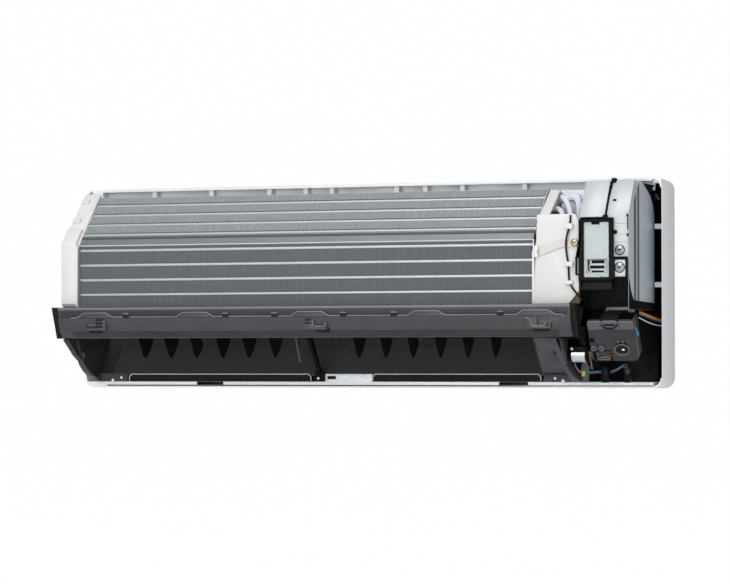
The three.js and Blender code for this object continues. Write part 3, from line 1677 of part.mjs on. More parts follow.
/** The black lead of the coil sensor, held under the bracket's bridges and bowed over the strap. */
function makeSensorLead() {
  const { diameter, bow, sweep } = sensorLead;
  const place = bracketLeft + sensorLead.across;
  const depth = bracket.front + clearance + diameter / 2;
  const middle = strap.highHeight;
  const lastBridge = highOf(heightShares.bridges[2]);
  const corners = [
    [place, depth, bracket.top - clearance],
    [place, depth, middle + 2 * strap.width],
    [place, depth + bow, middle + strap.width],
    [place, depth + bow, middle - strap.width],
    [place, depth, middle - 2 * strap.width],
    [place, depth, lastBridge - diameter],
    [place + sweep, depth, bracketBottom + diameter],
  ];
  return meshOf("sensor_lead", tubeOf(corners.map(at), diameter, facets.small), paint.rubber);
}

const tailEnd = coilRight + coil.rightTail + clearance;

const motorTop = fanHeight + motor.diameter / 2;

/** The thick pipe, which comes over from the upper pack and runs down in front of the motor's side. */
function makeGasPipe() {
  const { diameter, rise, tail, frontDepth } = gasPipe;
  const start = tubePlaces[1][tubePlaces[1].length - 1];
  const crest = start[1] + rise;
  const corners = [
    [tailEnd, ...start],
    [tailEnd + diameter, ...start],
    [pipeAcross, frontDepth, crest],
    [pipeAcross, frontDepth, motorTop - diameter],
    [pipeAcross, fanDepth, panTop + 2 * diameter],
    [pipeAcross, fanDepth, gasDrop],
    [pipeAcross, casing.channelDepth / 2, gasDrop],
    [pipeAcross - tail, casing.channelDepth / 2, gasDrop],
  ];
  const stations = roundedStations(corners, pipeBend.radius, pipeBend.steps);
  return meshOf("gas_pipe", tubeOf(stations, diameter, facets.medium), paint.insulation);
}

/** The thin pipe, which climbs from the rear pack and runs down behind the thick one. */
function makeLiquidPipe() {
  const { diameter, tail, topDepth, rise } = liquidPipe;
  const start = tubePlaces[2][0];
  const behind = casing.channelDepth / 2;
  const between = fanDepth - motor.diameter / 2 - cradle.reach;
  const corners = [
    [tailEnd, ...start],
    [tailEnd + 2 * diameter, ...start],
    [pipeAcross, topDepth, start[1] + rise],
    [pipeAcross, topDepth, motorTop],
    [pipeAcross, between, fanHeight],
    [pipeAcross, between, liquidDrop],
    [pipeAcross, behind, liquidDrop],
    [pipeAcross - tail, behind, liquidDrop],
  ];
  const stations = roundedStations(corners, pipeBend.radius, pipeBend.steps);
  return meshOf("liquid_pipe", tubeOf(stations, diameter, facets.medium), paint.insulation);
}

/** The pipe that joins the rear circuit's end to the main circuit's start. */
function makeLinkPipe() {
  const start = tubePlaces[2][tubePlaces[2].length - 1];
  const end = tubePlaces[0][0];
  const lane = tailEnd + linkPipe.diameter + tubeRadius;
  const corners = [
    [tailEnd, ...start],
    [lane, ...start],
    [lane, coil.frontDepth - coil.thickness, upperFrame.corner[1]],
    [lane, coil.frontDepth - rowPitch, frontTop - coil.thickness],
    [lane, ...end],
    [tailEnd, ...end],
  ];
  const stations = roundedStations(corners, linkPipe.diameter, pipeBend.steps);
  return meshOf("link_pipe", tubeOf(stations, linkPipe.diameter, facets.small), paint.insulation);
}

function makeCoilTrim() {
  const group = new THREE.Group();
  group.add(
    makeLeftLowerCover(),
    makeLeftUpperCover(),
    makeRightBracket(),
    makeStrap(),
    makeSensorLead(),
    makeGasPipe(),
    makeLiquidPipe(),
    makeLinkPipe(),
  );
  return group;
}

// Electrical box

const receiverLean = receiver.tilt * degree;
const receiverFoot = [
  receiver.topDepth - receiver.height * Math.sin(receiverLean),
  receiver.topHeight - receiver.height * Math.cos(receiverLean),
];

/** The place in depth and height that is so far up the receiver box and so far behind its face. */
function onReceiver(rise, behind) {
  return [
    receiverFoot[0] + rise * Math.sin(receiverLean) - behind * Math.cos(receiverLean),
    receiverFoot[1] + rise * Math.cos(receiverLean) + behind * Math.sin(receiverLean),
  ];
}

const frameBack = box.front + clearance;
const frameTop = frame.bottom + frame.height;
const frameRight = boxLeft + frame.width;
const boxProfile = [
  [box.back, box.bottom],
  [box.bottomDepth, box.bottom],
  [box.front, box.waist],
  [box.front, box.kneeHeight],
  [box.topDepth, box.top],
  [box.rearTopDepth, box.top],
  [box.back, box.rearTop],
];

/** The base tray of the electrical box, open where the frame and the steel shields close it. */
function makeBoxBase() {
  const { wall, back, front, bottom, bottomDepth, waist, kneeHeight } = box;
  const { topDepth, top, rearTopDepth, rearTop } = box;
  const hollow = [
    [back + wall, bottom + wall],
    [bottomDepth - wall, bottom + wall],
    [front - wall, waist + wall],
    [front + overrun, waist + 2 * wall],
    [front + overrun, kneeHeight + overrun],
    [topDepth + overrun, top + overrun],
    [rearTopDepth, top + overrun],
    [rearTopDepth, top - wall],
    [back + wall, rearTop - wall],
  ];
  const shell = across(boxProfile, boxLeft, boxRight);
  const body = cut(shell, across(hollow, boxLeft + wall, boxRight - wall));
  const feet = [box.bottom + box.footHeight, box.rearTop - 2 * box.footHeight].map((height) =>
    block(
      [boxLeft + box.footHeight / 2, boxRight - box.footHeight / 2],
      [casing.wall + clearance, box.back + overrun],
      [height, height + box.footHeight],
    ),
  );
  const lugDepth = receiver.depth + clearance;
  const lugFace = box.lugShares.map((share) => onReceiver(receiver.height * share, lugDepth));
  const lugRoot = [bottomDepth - box.lugReach, bottom + wall / 2];
  const lugOutline = [...lugFace, [bottomDepth, bottom + wall / 2], lugRoot];
  const lug = across(lugOutline, boxRight - box.lugWidth, boxRight - wall);
  return meshOf("box_base", join(body, feet, lug), paint.black);
}

/** The line that the steel shields follow over the box, so far outside it. */
function shieldLine(drop) {
  const front = box.front + clearance;
  const slope = Math.hypot(box.front - box.topDepth, box.top - box.kneeHeight);
  const kneeShift = (clearance * (slope - (box.front - box.topDepth))) / (box.top - box.kneeHeight);
  return [
    [front, box.kneeHeight - drop],
    [front, box.kneeHeight + kneeShift],
    [box.topDepth + kneeShift, box.top + clearance],
    [box.rearTopDepth, box.top + clearance],
  ];
}

const shieldSeam = boxLeft + shield.seamInset;

function makeLeftShield() {
  const line = shieldLine(shield.edgeDrop);
  const outline = ribbonOutline(line.reverse(), shield.wall);
  return meshOf("left_shield", across(outline, boxLeft, shieldSeam - shield.wall), paint.steel);
}

function makeRightShield() {
  const { wall, sideBack, groove, grooveDepth } = shield;
  const seam = shieldSeam;
  const frontDrop = box.kneeHeight - squareTop - shield.frontGap;
  const line = shieldLine(frontDrop);
  const sideLeft = boxRight + clearance;
  const skin = across(ribbonOutline([...line].reverse(), wall), seam + wall, sideLeft + wall);
  const outerFront = box.front + clearance + wall;
  const side = across(
    [
      [sideBack, box.bottom],
      [box.bottomDepth, box.bottom],
      [box.front, box.waist],
      [box.front, box.kneeHeight - frontDrop],
      [outerFront, box.kneeHeight - frontDrop],
      [outerFront, box.kneeHeight],
      [box.topDepth, box.top + clearance + wall],
      [box.rearTopDepth, box.top + clearance + wall],
      [sideBack, box.rearTop],
    ],
    sideLeft,
    sideLeft + wall,
  );
  const grooves = shield.groovePlaces.map((place) =>
    block(
      [sideLeft + wall - grooveDepth, sideLeft + wall + overrun],
      [place - groove / 2, place + groove / 2],
      [box.bottom + groove, box.top - groove],
    ),
  );
  const frameRoom = block(
    [seam - overrun, frameRight + clearance],
    [box.front, outerFront + overrun],
    [box.bottom, frameTop + clearance],
  );
  return meshOf("right_shield", cut(join(skin, side), grooves, frameRoom), paint.steel);
}

/** The black frame round the terminal plate, with its carrying loop and the screw's square. */
function makeFrame() {
  const { bottom, border, thickness, squareWidth, squareBottom, squareBorder } = frame;
  const { handleReach, handleBottom, handleHeight, handleWall } = frame;
  const front = frameBack + thickness;
  const ring = cut(
    block([boxLeft, frameRight], [frameBack, front], [bottom, frameTop - shield.wall]),
    block(
      [boxLeft + border, frameRight - border],
      [frameBack - overrun, front + overrun],
      [bottom + border, frameTop - border],
    ),
  );
  const squareRight = frameRight + squareWidth;
  const square = cut(
    block([frameRight - overrun / 2, squareRight], [frameBack, front], [squareBottom, squareTop]),
    block(
      [frameRight + squareBorder, squareRight - squareBorder],
      [frameBack + handleWall, front + overrun],
      [squareBottom + squareBorder, squareTop - squareBorder],
    ),
  );
  const handleTop = handleBottom + handleHeight;
  const loop = cut(
    block(
      [boxLeft - handleReach, boxLeft + handleWall],
      [front - 2 * handleWall, front],
      [handleBottom, handleTop],
    ),
    block(
      [boxLeft - handleReach + handleWall, boxLeft],
      [front - 2 * handleWall - overrun, front + overrun],
      [handleBottom + handleWall, handleTop - handleWall],
    ),
  );
  return meshOf("terminal_frame", join(ring, square, loop), paint.black);
}

function makeTerminalPlate() {
  const { thickness, slotWidth, slotHeight, slotPitch, slotBase, slots, notchWidth, notchHeight } = plate;
  const left = boxLeft + frame.border + clearance;
  const right = frameRight - frame.border - clearance;
  const bottom = frame.bottom + frame.border + clearance;
  const top = frameTop - frame.border - clearance;
  const middle = (left + right) / 2;
  const body = block([left, right], [frameBack, frameBack + thickness], [bottom, top]);
  const slotCuts = range(slots).map((i) => {
    const base = bottom + slotBase + slotPitch * i;
    return block(
      [middle - slotWidth / 2, middle + slotWidth / 2],
      [frameBack - overrun, frameBack + thickness + overrun],
      [base, base + slotHeight],
    );
  });
  const notch = block(
    [middle - notchWidth / 2, middle + notchWidth / 2],
    [frameBack - overrun, frameBack + thickness + overrun],
    [top - notchHeight, top + overrun],
  );
  return meshOf("terminal_plate", cut(body, slotCuts, notch), paint.steel);
}

function makeElectricalBox() {
  const group = new THREE.Group();
  group.add(makeBoxBase(), makeLeftShield(), makeRightShield(), makeFrame(), makeTerminalPlate());
  return group;
}

// Receiver box. Its group is tilted: X along the width, -Y out of its face, Z up from its lower edge.

/** A hole through the cover's face, between two places across it and two up it. */
function coverHole(acrossSpan, riseSpan) {
  return block(acrossSpan, [-receiver.wall - overrun, overrun], riseSpan);
}

function makeReceiverCover() {
  const { width, height, wall, depth, cupDiameter, holeWidth, guideDiameter, guideBore } = receiver;
  const back = -depth / 2 + clearance / 2;
  const corner = 2 * wall;
  const middle = [width / 2, height / 2];
  const outline = roundedOutline(width, height, corner, 2, middle);
  const inner = roundedOutline(width - 2 * wall, height - 2 * wall, corner - wall, 2, middle);
  const shell = cut(facing(outline, back, 0), facing(inner, back - overrun, -wall));
  const cupPlace = [width * receiverShares.cup[0], height * receiverShares.cup[1]];
  const cup = facing(circleOutline(cupDiameter, facets.round, cupPlace), -wall - overrun, overrun);
  const squareRise = height * receiverShares.squareRise;
  const squares = receiverShares.squareHoles
    .map((share) => width * share)
    .map((left) => coverHole([left, left + holeWidth], [squareRise, squareRise + holeWidth]));
  const { across: left, width: buttonWidth, rise, height: buttonHeight } = testButton;
  const buttonHole = coverHole(
    [left - clearance, left + buttonWidth + clearance],
    [rise - clearance, rise + buttonHeight + clearance],
  );
  const guideRise = height * receiverShares.guideRise;
  const guidePlaces = receiverShares.guides.map((share) => [width * share, guideRise]);
  const tubes = guidePlaces.map((place) =>
    facing(circleOutline(guideDiameter, facets.small, place), -wall / 2, wall),
  );
  const bores = guidePlaces.map((place) =>
    facing(circleOutline(guideBore, facets.small, place), -wall - overrun, 2 * wall),
  );
  return meshOf("receiver_cover", cut(join(shell, tubes), cup, squares, buttonHole, bores), paint.slate);
}

function makeReceiverBase() {
  const { width, height, wall, depth, latchWidth, latchHeight } = receiver;
  const front = -depth / 2 - clearance / 2;
  const middle = [width / 2, height / 2];
  const outline = roundedOutline(width, height, 2 * wall, 2, middle);
  const inner = roundedOutline(width - 2 * wall, height - 2 * wall, wall, 2, middle);
  const shell = cut(facing(outline, -depth, front), facing(inner, -depth + wall, front + overrun));
  const latchLeft = width * receiverShares.latch;
  const latchSpan = [latchLeft, latchLeft + latchWidth];
  const latchBottom = height + clearance;
  const latchTop = latchBottom + wall;
  const latch = [
    block(latchSpan, [-depth, wall], [latchBottom, latchTop]),
    block(latchSpan, [-depth, front], [height - wall, latchTop]),
    block(latchSpan, [clearance, wall], [height - latchHeight, latchTop]),
  ];
  return meshOf("receiver_base", join(shell, latch), paint.black);
}

function makeReceiverBoard() {
  const { width, height, wall, boardWall, boardGap } = receiver;
  const inset = wall + 3 * clearance;
  const front = -wall - boardGap;
  const board = block([inset, width - inset], [front - boardWall, front], [inset, height - inset]);
  return meshOf("receiver_board", board, paint.board);
}

function makeTestButton() {
  const { across: left, width, height, rise, length } = testButton;
  const span = [2 * clearance - length, receiver.wall / 2];
  const button = block([left, left + width], span, [rise, rise + height]);
  return meshOf("test_button", button, paint.slate);
}

function makeReceiver() {
  const group = new THREE.Group();
  group.position.copy(at([receiverLeft, ...receiverFoot]));
  group.rotation.x = receiverLean;
  group.add(makeReceiverCover(), makeReceiverBase(), makeReceiverBoard(), makeTestButton());
  return group;
}

// Louvre drive

function makeLouvreMotor() {
  const { diameter, length, bracketWall, bracketWidth, bracketHeight, hubDiameter } = louvreMotor;
  const wallFace = outletRight + clearance;
  const { pivotDepth } = outlet;
  const bracketPlate = block(
    [wallFace, wallFace + bracketWall],
    [pivotDepth - bracketHeight / 2, pivotDepth + bracketHeight / 2],
    [pivotHeight - bracketWidth / 2, pivotHeight + bracketWidth / 2],
  );
  const can = rod(
    diameter,
    [wallFace + bracketWall / 2, pivotDepth, pivotHeight],
    [wallFace + bracketWall + length, pivotDepth, pivotHeight],
    facets.drum,
  );
  const socket = rod(
    hubDiameter + 2 * clearance,
    [wallFace - overrun, pivotDepth, pivotHeight],
    [wallFace + bracketWall + length / 4, pivotDepth, pivotHeight],
    facets.round,
  );
  return meshOf("louvre_motor", cut(join(bracketPlate, can), socket), paint.steel);
}

/** The socket that turned the louvre, on the motor's shaft in the end wall. */
function makeLouvreDrive() {
  const { diameter, socket, proud } = louvreDrive;
  const { pivotDepth, wall } = outlet;
  const inner = outletRight - wall - proud;
  const outer = outletRight + louvreMotor.bracketWall;
  const axis = [pivotDepth, pivotHeight];
  const wide = rod(diameter, [inner, ...axis], [outletRight, ...axis], facets.round);
  const shaft = rod(
    louvreMotor.hubDiameter - clearance,
    [inner, pivotDepth, pivotHeight],
    [outer + louvreMotor.length / 5, pivotDepth, pivotHeight],
    facets.round,
  );
  const key = block(
    [inner - overrun, outletRight],
    [pivotDepth - socket / 2, pivotDepth + socket / 2],
    [pivotHeight - socket / 4, pivotHeight + socket / 4],
  );
  return meshOf("louvre_drive", cut(join(wide, shaft), key), paint.white);
}

function makeMotorLead() {
  const { pivotDepth } = outlet;
  const start = outletRight + louvreMotor.length / 2;
  const floor = railTop + casing.railHeight / 2;
  const corners = [
    [start, pivotDepth, pivotHeight - louvreMotor.diameter / 2 - clearance - lead.diameter / 2],
    [start + lead.bendRadius, fanDepth, floor + lead.bendRadius],
    [receiverLeft + receiver.width / 2, fanDepth, floor + lead.bendRadius],
    [receiverLeft + receiver.width / 2, fanDepth + 4 * lead.bendRadius, pivotHeight - lead.bendRadius],
  ];
  const stations = roundedStations(corners, lead.bendRadius, pipeBend.steps);
  return meshOf("louvre_motor_lead", tubeOf(stations, lead.diameter, facets.small), paint.cyanWire);
}

/** The wires that leave the box towards the casing's right wall. */
function makeHarness() {
  const { diameter, bendRadius, drop } = harness;
  const side = halfWidth - casing.wall - diameter / 2 - clearance;
  const level = box.bottom - diameter / 2 - clearance;
  const corners = [
    [boxRight - 2 * diameter, fanDepth, level],
    [side, casing.depth, level - drop],
    [side, channelFront + bendRadius, level - drop],
    [side, casing.wall + diameter, level - 2 * drop],
  ];
  const stations = roundedStations(corners, bendRadius, pipeBend.steps);
  return meshOf("side_harness", tubeOf(stations, diameter, facets.medium), paint.orangeWire);
}

const unit = new THREE.Group();
unit.name = "split_air_conditioner_indoor_unit";
unit.add(
  makeCasing(),
  makeLiner(),
  makeAirPath(),
  makeCoil(),
  makeCoilTrim(),
  makeFanGroup(),
  makeVaneRow("left", leftVaneStart),
  makeVaneRow("right", rightVaneStart),
  makeElectricalBox(),
  makeReceiver(),
  makeLouvreMotor(),
  makeLouvreDrive(),
  makeMotorLead(),
  makeHarness(),
);

export default unit;
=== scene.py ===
"""Looks of a split air conditioner's indoor unit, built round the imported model, which is the fixed frame."""

from __future__ import annotations

import json  # noqa: E402
import logging  # noqa: E402
import math  # noqa: E402
from dataclasses import dataclass, field  # noqa: E402
from enum import Enum  # noqa: E402
from typing import Callable, Sequence  # noqa: E402

import bmesh  # noqa: E402
import bpy  # noqa: E402
from mathutils import Matrix, Vector  # noqa: E402

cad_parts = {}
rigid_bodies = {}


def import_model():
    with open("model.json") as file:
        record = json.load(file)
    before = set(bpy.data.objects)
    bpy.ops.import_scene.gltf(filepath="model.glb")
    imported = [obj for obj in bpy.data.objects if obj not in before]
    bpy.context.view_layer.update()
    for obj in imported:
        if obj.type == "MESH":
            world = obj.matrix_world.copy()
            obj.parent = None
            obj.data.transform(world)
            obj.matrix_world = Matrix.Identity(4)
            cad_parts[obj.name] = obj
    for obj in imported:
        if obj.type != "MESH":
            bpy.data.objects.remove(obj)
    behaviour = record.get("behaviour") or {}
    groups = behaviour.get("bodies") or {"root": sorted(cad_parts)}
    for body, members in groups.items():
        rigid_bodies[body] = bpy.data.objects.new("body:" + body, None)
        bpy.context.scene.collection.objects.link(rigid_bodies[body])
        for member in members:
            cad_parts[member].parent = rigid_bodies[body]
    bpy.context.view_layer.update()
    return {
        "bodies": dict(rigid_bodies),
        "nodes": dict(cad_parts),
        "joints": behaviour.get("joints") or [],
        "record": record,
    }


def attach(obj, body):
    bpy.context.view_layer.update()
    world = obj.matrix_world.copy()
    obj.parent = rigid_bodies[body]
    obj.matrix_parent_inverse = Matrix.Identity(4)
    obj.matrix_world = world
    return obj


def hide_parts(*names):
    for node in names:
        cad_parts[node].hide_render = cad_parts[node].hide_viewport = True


LOG = logging.getLogger("indoor_unit")
MM = 0.001
Color = tuple[float, float, float]
Place = tuple[float, float, float]
Pair = tuple[float, float]
Where = Callable[[float, float, float], Vector]

# Directions, as places in millimetres: out from the wall, across the width, and out of the receiver's face.
OUT: Place = (0, 1, 0)
ACROSS: Place = (1, 0, 0)
FACE_OUT: Place = (0, 0, 1)
SQUARE = ((-1, -1), (1, -1), (1, 1), (-1, 1))

# Angles in degrees above which an edge stays sharp, and above which it is rounded.
SHARP = 35.0
TUBE_SHARP = 60.0
BEVEL_SHARP = 38.0
CORNER = 30.0
FLAT_WITHIN = 1.0  # degrees between faces that count as one flat face
WELD = 1e-6  # distance in metres below which vertices become one
WIDEST_ROUND = 0.45  # share of a block's thinnest side that a round may take

# A screw's proportions: its head as shares of the washer's radius and of its rise, then its parts.
SCREW_HEAD = ((0, 0.45), (0.16, 0.45), (0.24, 1.0), (0.546, 0.92), (0.741, 0.62), (0.78, 0.3), (0.92, 0.26), (1, 0.12))
SCREW_RISE = 0.42
SCREW_FOOT = 0.2
# The seat is a black ring round the head's foot, a painted shadow, and the cross recess is filled black as painted
# shade.
SCREW_SHADOW_WIDTH = 1.2
SCREW_SHADE = 0.12
SCREW_CROSS = (0.42, 0.1)
SCREW_FLOOR = 0.8
SCREW_CUT = 0.24

GLOSS_SWING = 0.07  # how far a finish's roughness varies either way
SMOOTHEST = 0.02
NARROW = 0.5  # how little a narrow face may turn to the side
GRAIN_HEIGHT = 0.0004  # in metres
SCATTER = (12.9898, 43758.5453)  # gives each fin its own fixed stray


class Grain(Enum):
    """The surface effects that a finish may carry."""

    MOULDED = "moulded_plastic"
    SPANGLE = "zinc_spangle"
    CELLS = "foam_cells"
    FINS = "fin_streaks"
    DRAWN = "drawn_metal"


@dataclass(frozen=True)
class Finish:
    """One material: its plain values and the grain group that varies them."""

    name: str
    color: Color
    roughness: float
    metallic: float = 0.0
    grain: Grain = Grain.MOULDED
    scale: float = 900.0
    depth: float = 0.12
    variation: float = 0.06
    coat: float = 0.0
    # A lighter colour painted on narrow faces as a highlight.
    rim: Color | None = None
    gleam: float = 0.5


WHITE = Finish("casing_white", (0.8, 0.825, 0.85), 0.36, scale=1400, variation=0.03, coat=0.1)
COVER = Finish("cover_white", (0.665, 0.66, 0.655), 0.5, scale=1100, variation=0.03)
# Grey for painted shade under the rail's step.
SHADED = Finish("step_shade_grey", (0.28, 0.3, 0.32), 0.5, scale=1400, variation=0.05)
SLATE = Finish("pan_slate", (0.05, 0.052, 0.06), 0.4, scale=1300, depth=0.22, variation=0.12, gleam=0.35)
# Light slate, painted as highlights on edges of the pan, the receiver and the left boss.
SLATE_HIGHLIGHT = Finish("slate_highlight", (0.155, 0.155, 0.175), 0.34, scale=1300, variation=0.1)
GUIDE = Finish("guide_charcoal", (0.068, 0.068, 0.07), 0.6, scale=1100, variation=0.14, gleam=0.3)
HOUSING = Finish(
    "receiver_slate", (0.03, 0.03, 0.036), 0.38, scale=1300, depth=0.2, variation=0.1, gleam=0.35
)
TRIM = Finish("receiver_edge", (0.088, 0.088, 0.1), 0.36, scale=1300, variation=0.1, gleam=0.4)
BAND = Finish("pan_band", (0.046, 0.045, 0.045), 0.75, scale=700, depth=0.7, variation=0.25, gleam=0.2)
# A darker slate: painted shade in the pan's recessed channel. The left outlet end is dressed in it too.
CHANNEL = Finish("pan_channel", (0.034, 0.035, 0.04), 0.5, scale=1300, depth=0.2, variation=0.12, gleam=0.3)
# The vanes' rim colour is a painted highlight on their front edges.
VANE = Finish(
    "vane_black", (0.007, 0.007, 0.008), 0.45, scale=1100, variation=0.2, rim=(0.016, 0.016, 0.018), gleam=0.12
)
BLACK = Finish("trim_black", (0.0035, 0.0035, 0.004), 0.3, scale=1200, variation=0.2, gleam=0.06)
BACKING = Finish(
    "backing_black", (0.004, 0.004, 0.004), 0.8, grain=Grain.CELLS, scale=900, depth=0.4, gleam=0.1
)
FOAM = Finish(
    "seal_foam", (0.02, 0.016, 0.013), 0.95, grain=Grain.CELLS, scale=700, depth=0.9, variation=0.35, gleam=0.1
)
WRAP = Finish(
    "pipe_foam", (0.006, 0.006, 0.006), 0.95, grain=Grain.CELLS, scale=600, depth=0.9, variation=0.3, gleam=0.05
)
TAN = Finish(
    "tan_foam", (0.13, 0.105, 0.075), 0.9, grain=Grain.CELLS, scale=800, depth=0.6, variation=0.2, gleam=0.1
)
RUBBER = Finish("black_rubber", (0.006, 0.006, 0.007), 0.5, scale=900, variation=0.2, gleam=0.15)
# The fin rims are painted highlights on the fins' front edges. The upper pack's fins are a lighter copy of the front
# pack's, painted light for the way that pack faces the lamps. The cores are painted shade inside the packs.
FIN = Finish(
    "fin_aluminium", (0.15, 0.161, 0.166), 0.6, 0.1, Grain.FINS, 900, 0.1, 0.14, rim=(0.218, 0.237, 0.247)
)
CORE = Finish("fin_shade", (0.075, 0.081, 0.085), 0.7, 0.0, Grain.FINS, 1100, 0.2, 0.4)
UPPER_FIN_PAINTED_LIGHT = Finish(
    "upper_fin", (0.37, 0.405, 0.414), 0.55, 0.15, Grain.FINS, 900, 0.1, 0.14, rim=(0.58, 0.625, 0.643)
)
UPPER_CORE = Finish("upper_fin_shade", (0.15, 0.165, 0.17), 0.6, 0.0, Grain.FINS, 1100, 0.2, 0.35)
COLLAR = Finish("fin_collar", (0.46, 0.495, 0.515), 0.42, 0.6, Grain.DRAWN, 500, 0.1, 0.08)
COPPER = Finish("tube_copper", (0.5, 0.23, 0.12), 0.32, 0.95, Grain.DRAWN, 500, 0.15, 0.2)
ZINC = Finish("zinc_sheet", (0.5, 0.54, 0.56), 0.4, 0.45, Grain.SPANGLE, 420, 0.04, 0.05)
STRIP = Finish("closing_strip", (0.2, 0.22, 0.23), 0.38, 0.5, Grain.DRAWN, 300, 0.08, 0.14)
SIDE_ZINC = Finish("side_zinc", (0.52, 0.58, 0.63), 0.4, 0.3, Grain.SPANGLE, 500, 0.04, 0.08)
# Dark grey, painted as shade in the side sheet's grooves.
GROOVE_SHADE = Finish("side_groove", (0.08, 0.094, 0.107), 0.5, 0.3, Grain.SPANGLE, 900, 0.1, 0.35)
SHIELD = Finish("shield_zinc", (0.47, 0.49, 0.505), 0.42, 0.2, Grain.SPANGLE, 500, 0.03, 0.03)
STRAP = Finish("strap_film", (0.52, 0.51, 0.49), 0.3, scale=700, variation=0.04, coat=0.2)
PLATE = Finish("plate_zinc", (0.29, 0.315, 0.325), 0.34, 0.4, Grain.SPANGLE, 900, 0.05, 0.1)
BRIGHT = Finish("bright_can", (0.66, 0.66, 0.65), 0.3, 0.85, Grain.DRAWN, 400, 0.1, 0.08)
SCREW = Finish("screw_zinc", (0.36, 0.385, 0.41), 0.28, 0.85, Grain.DRAWN, 900, 0.1, 0.1)
BRASS = Finish("screw_brass", (0.7, 0.54, 0.36), 0.25, 0.85, Grain.DRAWN, 900, 0.1, 0.1)
SLEEVE = Finish("pipe_sleeve", (0.66, 0.71, 0.79), 0.5, scale=800, depth=0.3)
BOARD = Finish("phenolic_board", (0.08, 0.034, 0.004), 0.5, scale=500, variation=0.3, gleam=0.3)
CYAN = Finish("wire_cyan", (0.0, 0.24, 0.4), 0.35, scale=600)
RED = Finish("wire_red", (0.24, 0.008, 0.011), 0.35, scale=600)
ORANGE = Finish("wire_orange", (0.85, 0.36, 0.02), 0.35, scale=600)
BLUE = Finish("wire_blue", (0.012, 0.05, 0.25), 0.35, scale=600)
PALE = Finish("wire_white", (0.75, 0.73, 0.7), 0.35, scale=600)
PLUG = Finish("plug_yellow", (0.3, 0.34, 0.03), 0.4, scale=900)
# Black for painted shadow.
SHADOW_BLACK = Finish("shadow_black", (0.0013, 0.0013, 0.0014), 0.9, scale=900, gleam=0.03)
TAG = Finish("strap_tag", (0.36, 0.4, 0.26), 0.5, scale=900)
LENS = Finish("lamp_white", (0.85, 0.85, 0.83), 0.25, scale=900)


@dataclass(frozen=True)
class Noise:
    """A noise: its scale as a share of the grain's, its octaves and its scale along each axis."""

    factor: float
    detail: float
    stretch: Place = (1, 1, 1)


# What makes each grain's Tone, Gloss and Height: a noise, or a channel of the cells.
DRAW_LINES = Noise(1.0, 2, (0.05, 1, 1))
RECIPES: dict[Grain, tuple[Noise | str, ...]] = {
    Grain.MOULDED: (Noise(0.02, 3), Noise(0.09, 4), Noise(1.0, 2)),
    Grain.SPANGLE: ("Red", "Green", Noise(3.0, 2)),
    Grain.CELLS: (Noise(0.15, 4), "Distance", "Distance"),
    Grain.FINS: (Noise(1.0, 2, (1, 0.03, 0.03)), Noise(0.06, 3, (1, 0.4, 0.4)), Noise(2.0, 1, (1, 0.2, 0.2))),
    Grain.DRAWN: (Noise(0.1, 4), DRAW_LINES, DRAW_LINES),
}


def add_node(tree: bpy.types.NodeTree, kind: str, inputs: dict, **settings: object) -> bpy.types.Node:
    """Adds a shader node, sets it up and feeds its inputs.

    Args:
        tree: the tree that it joins.
        kind: its type, without the prefix.
        inputs: a value, or another node's socket, for each input by name or number.
        settings: its own settings.

    Returns:
        The node.
    """
    made = tree.nodes.new("ShaderNode" + kind)
    for name, value in settings.items():
        setattr(made, name, value)
    for key, source in inputs.items():
        if isinstance(source, bpy.types.NodeSocket):
            tree.links.new(source, made.inputs[key])
        else:
            made.inputs[key].default_value = source
    return made


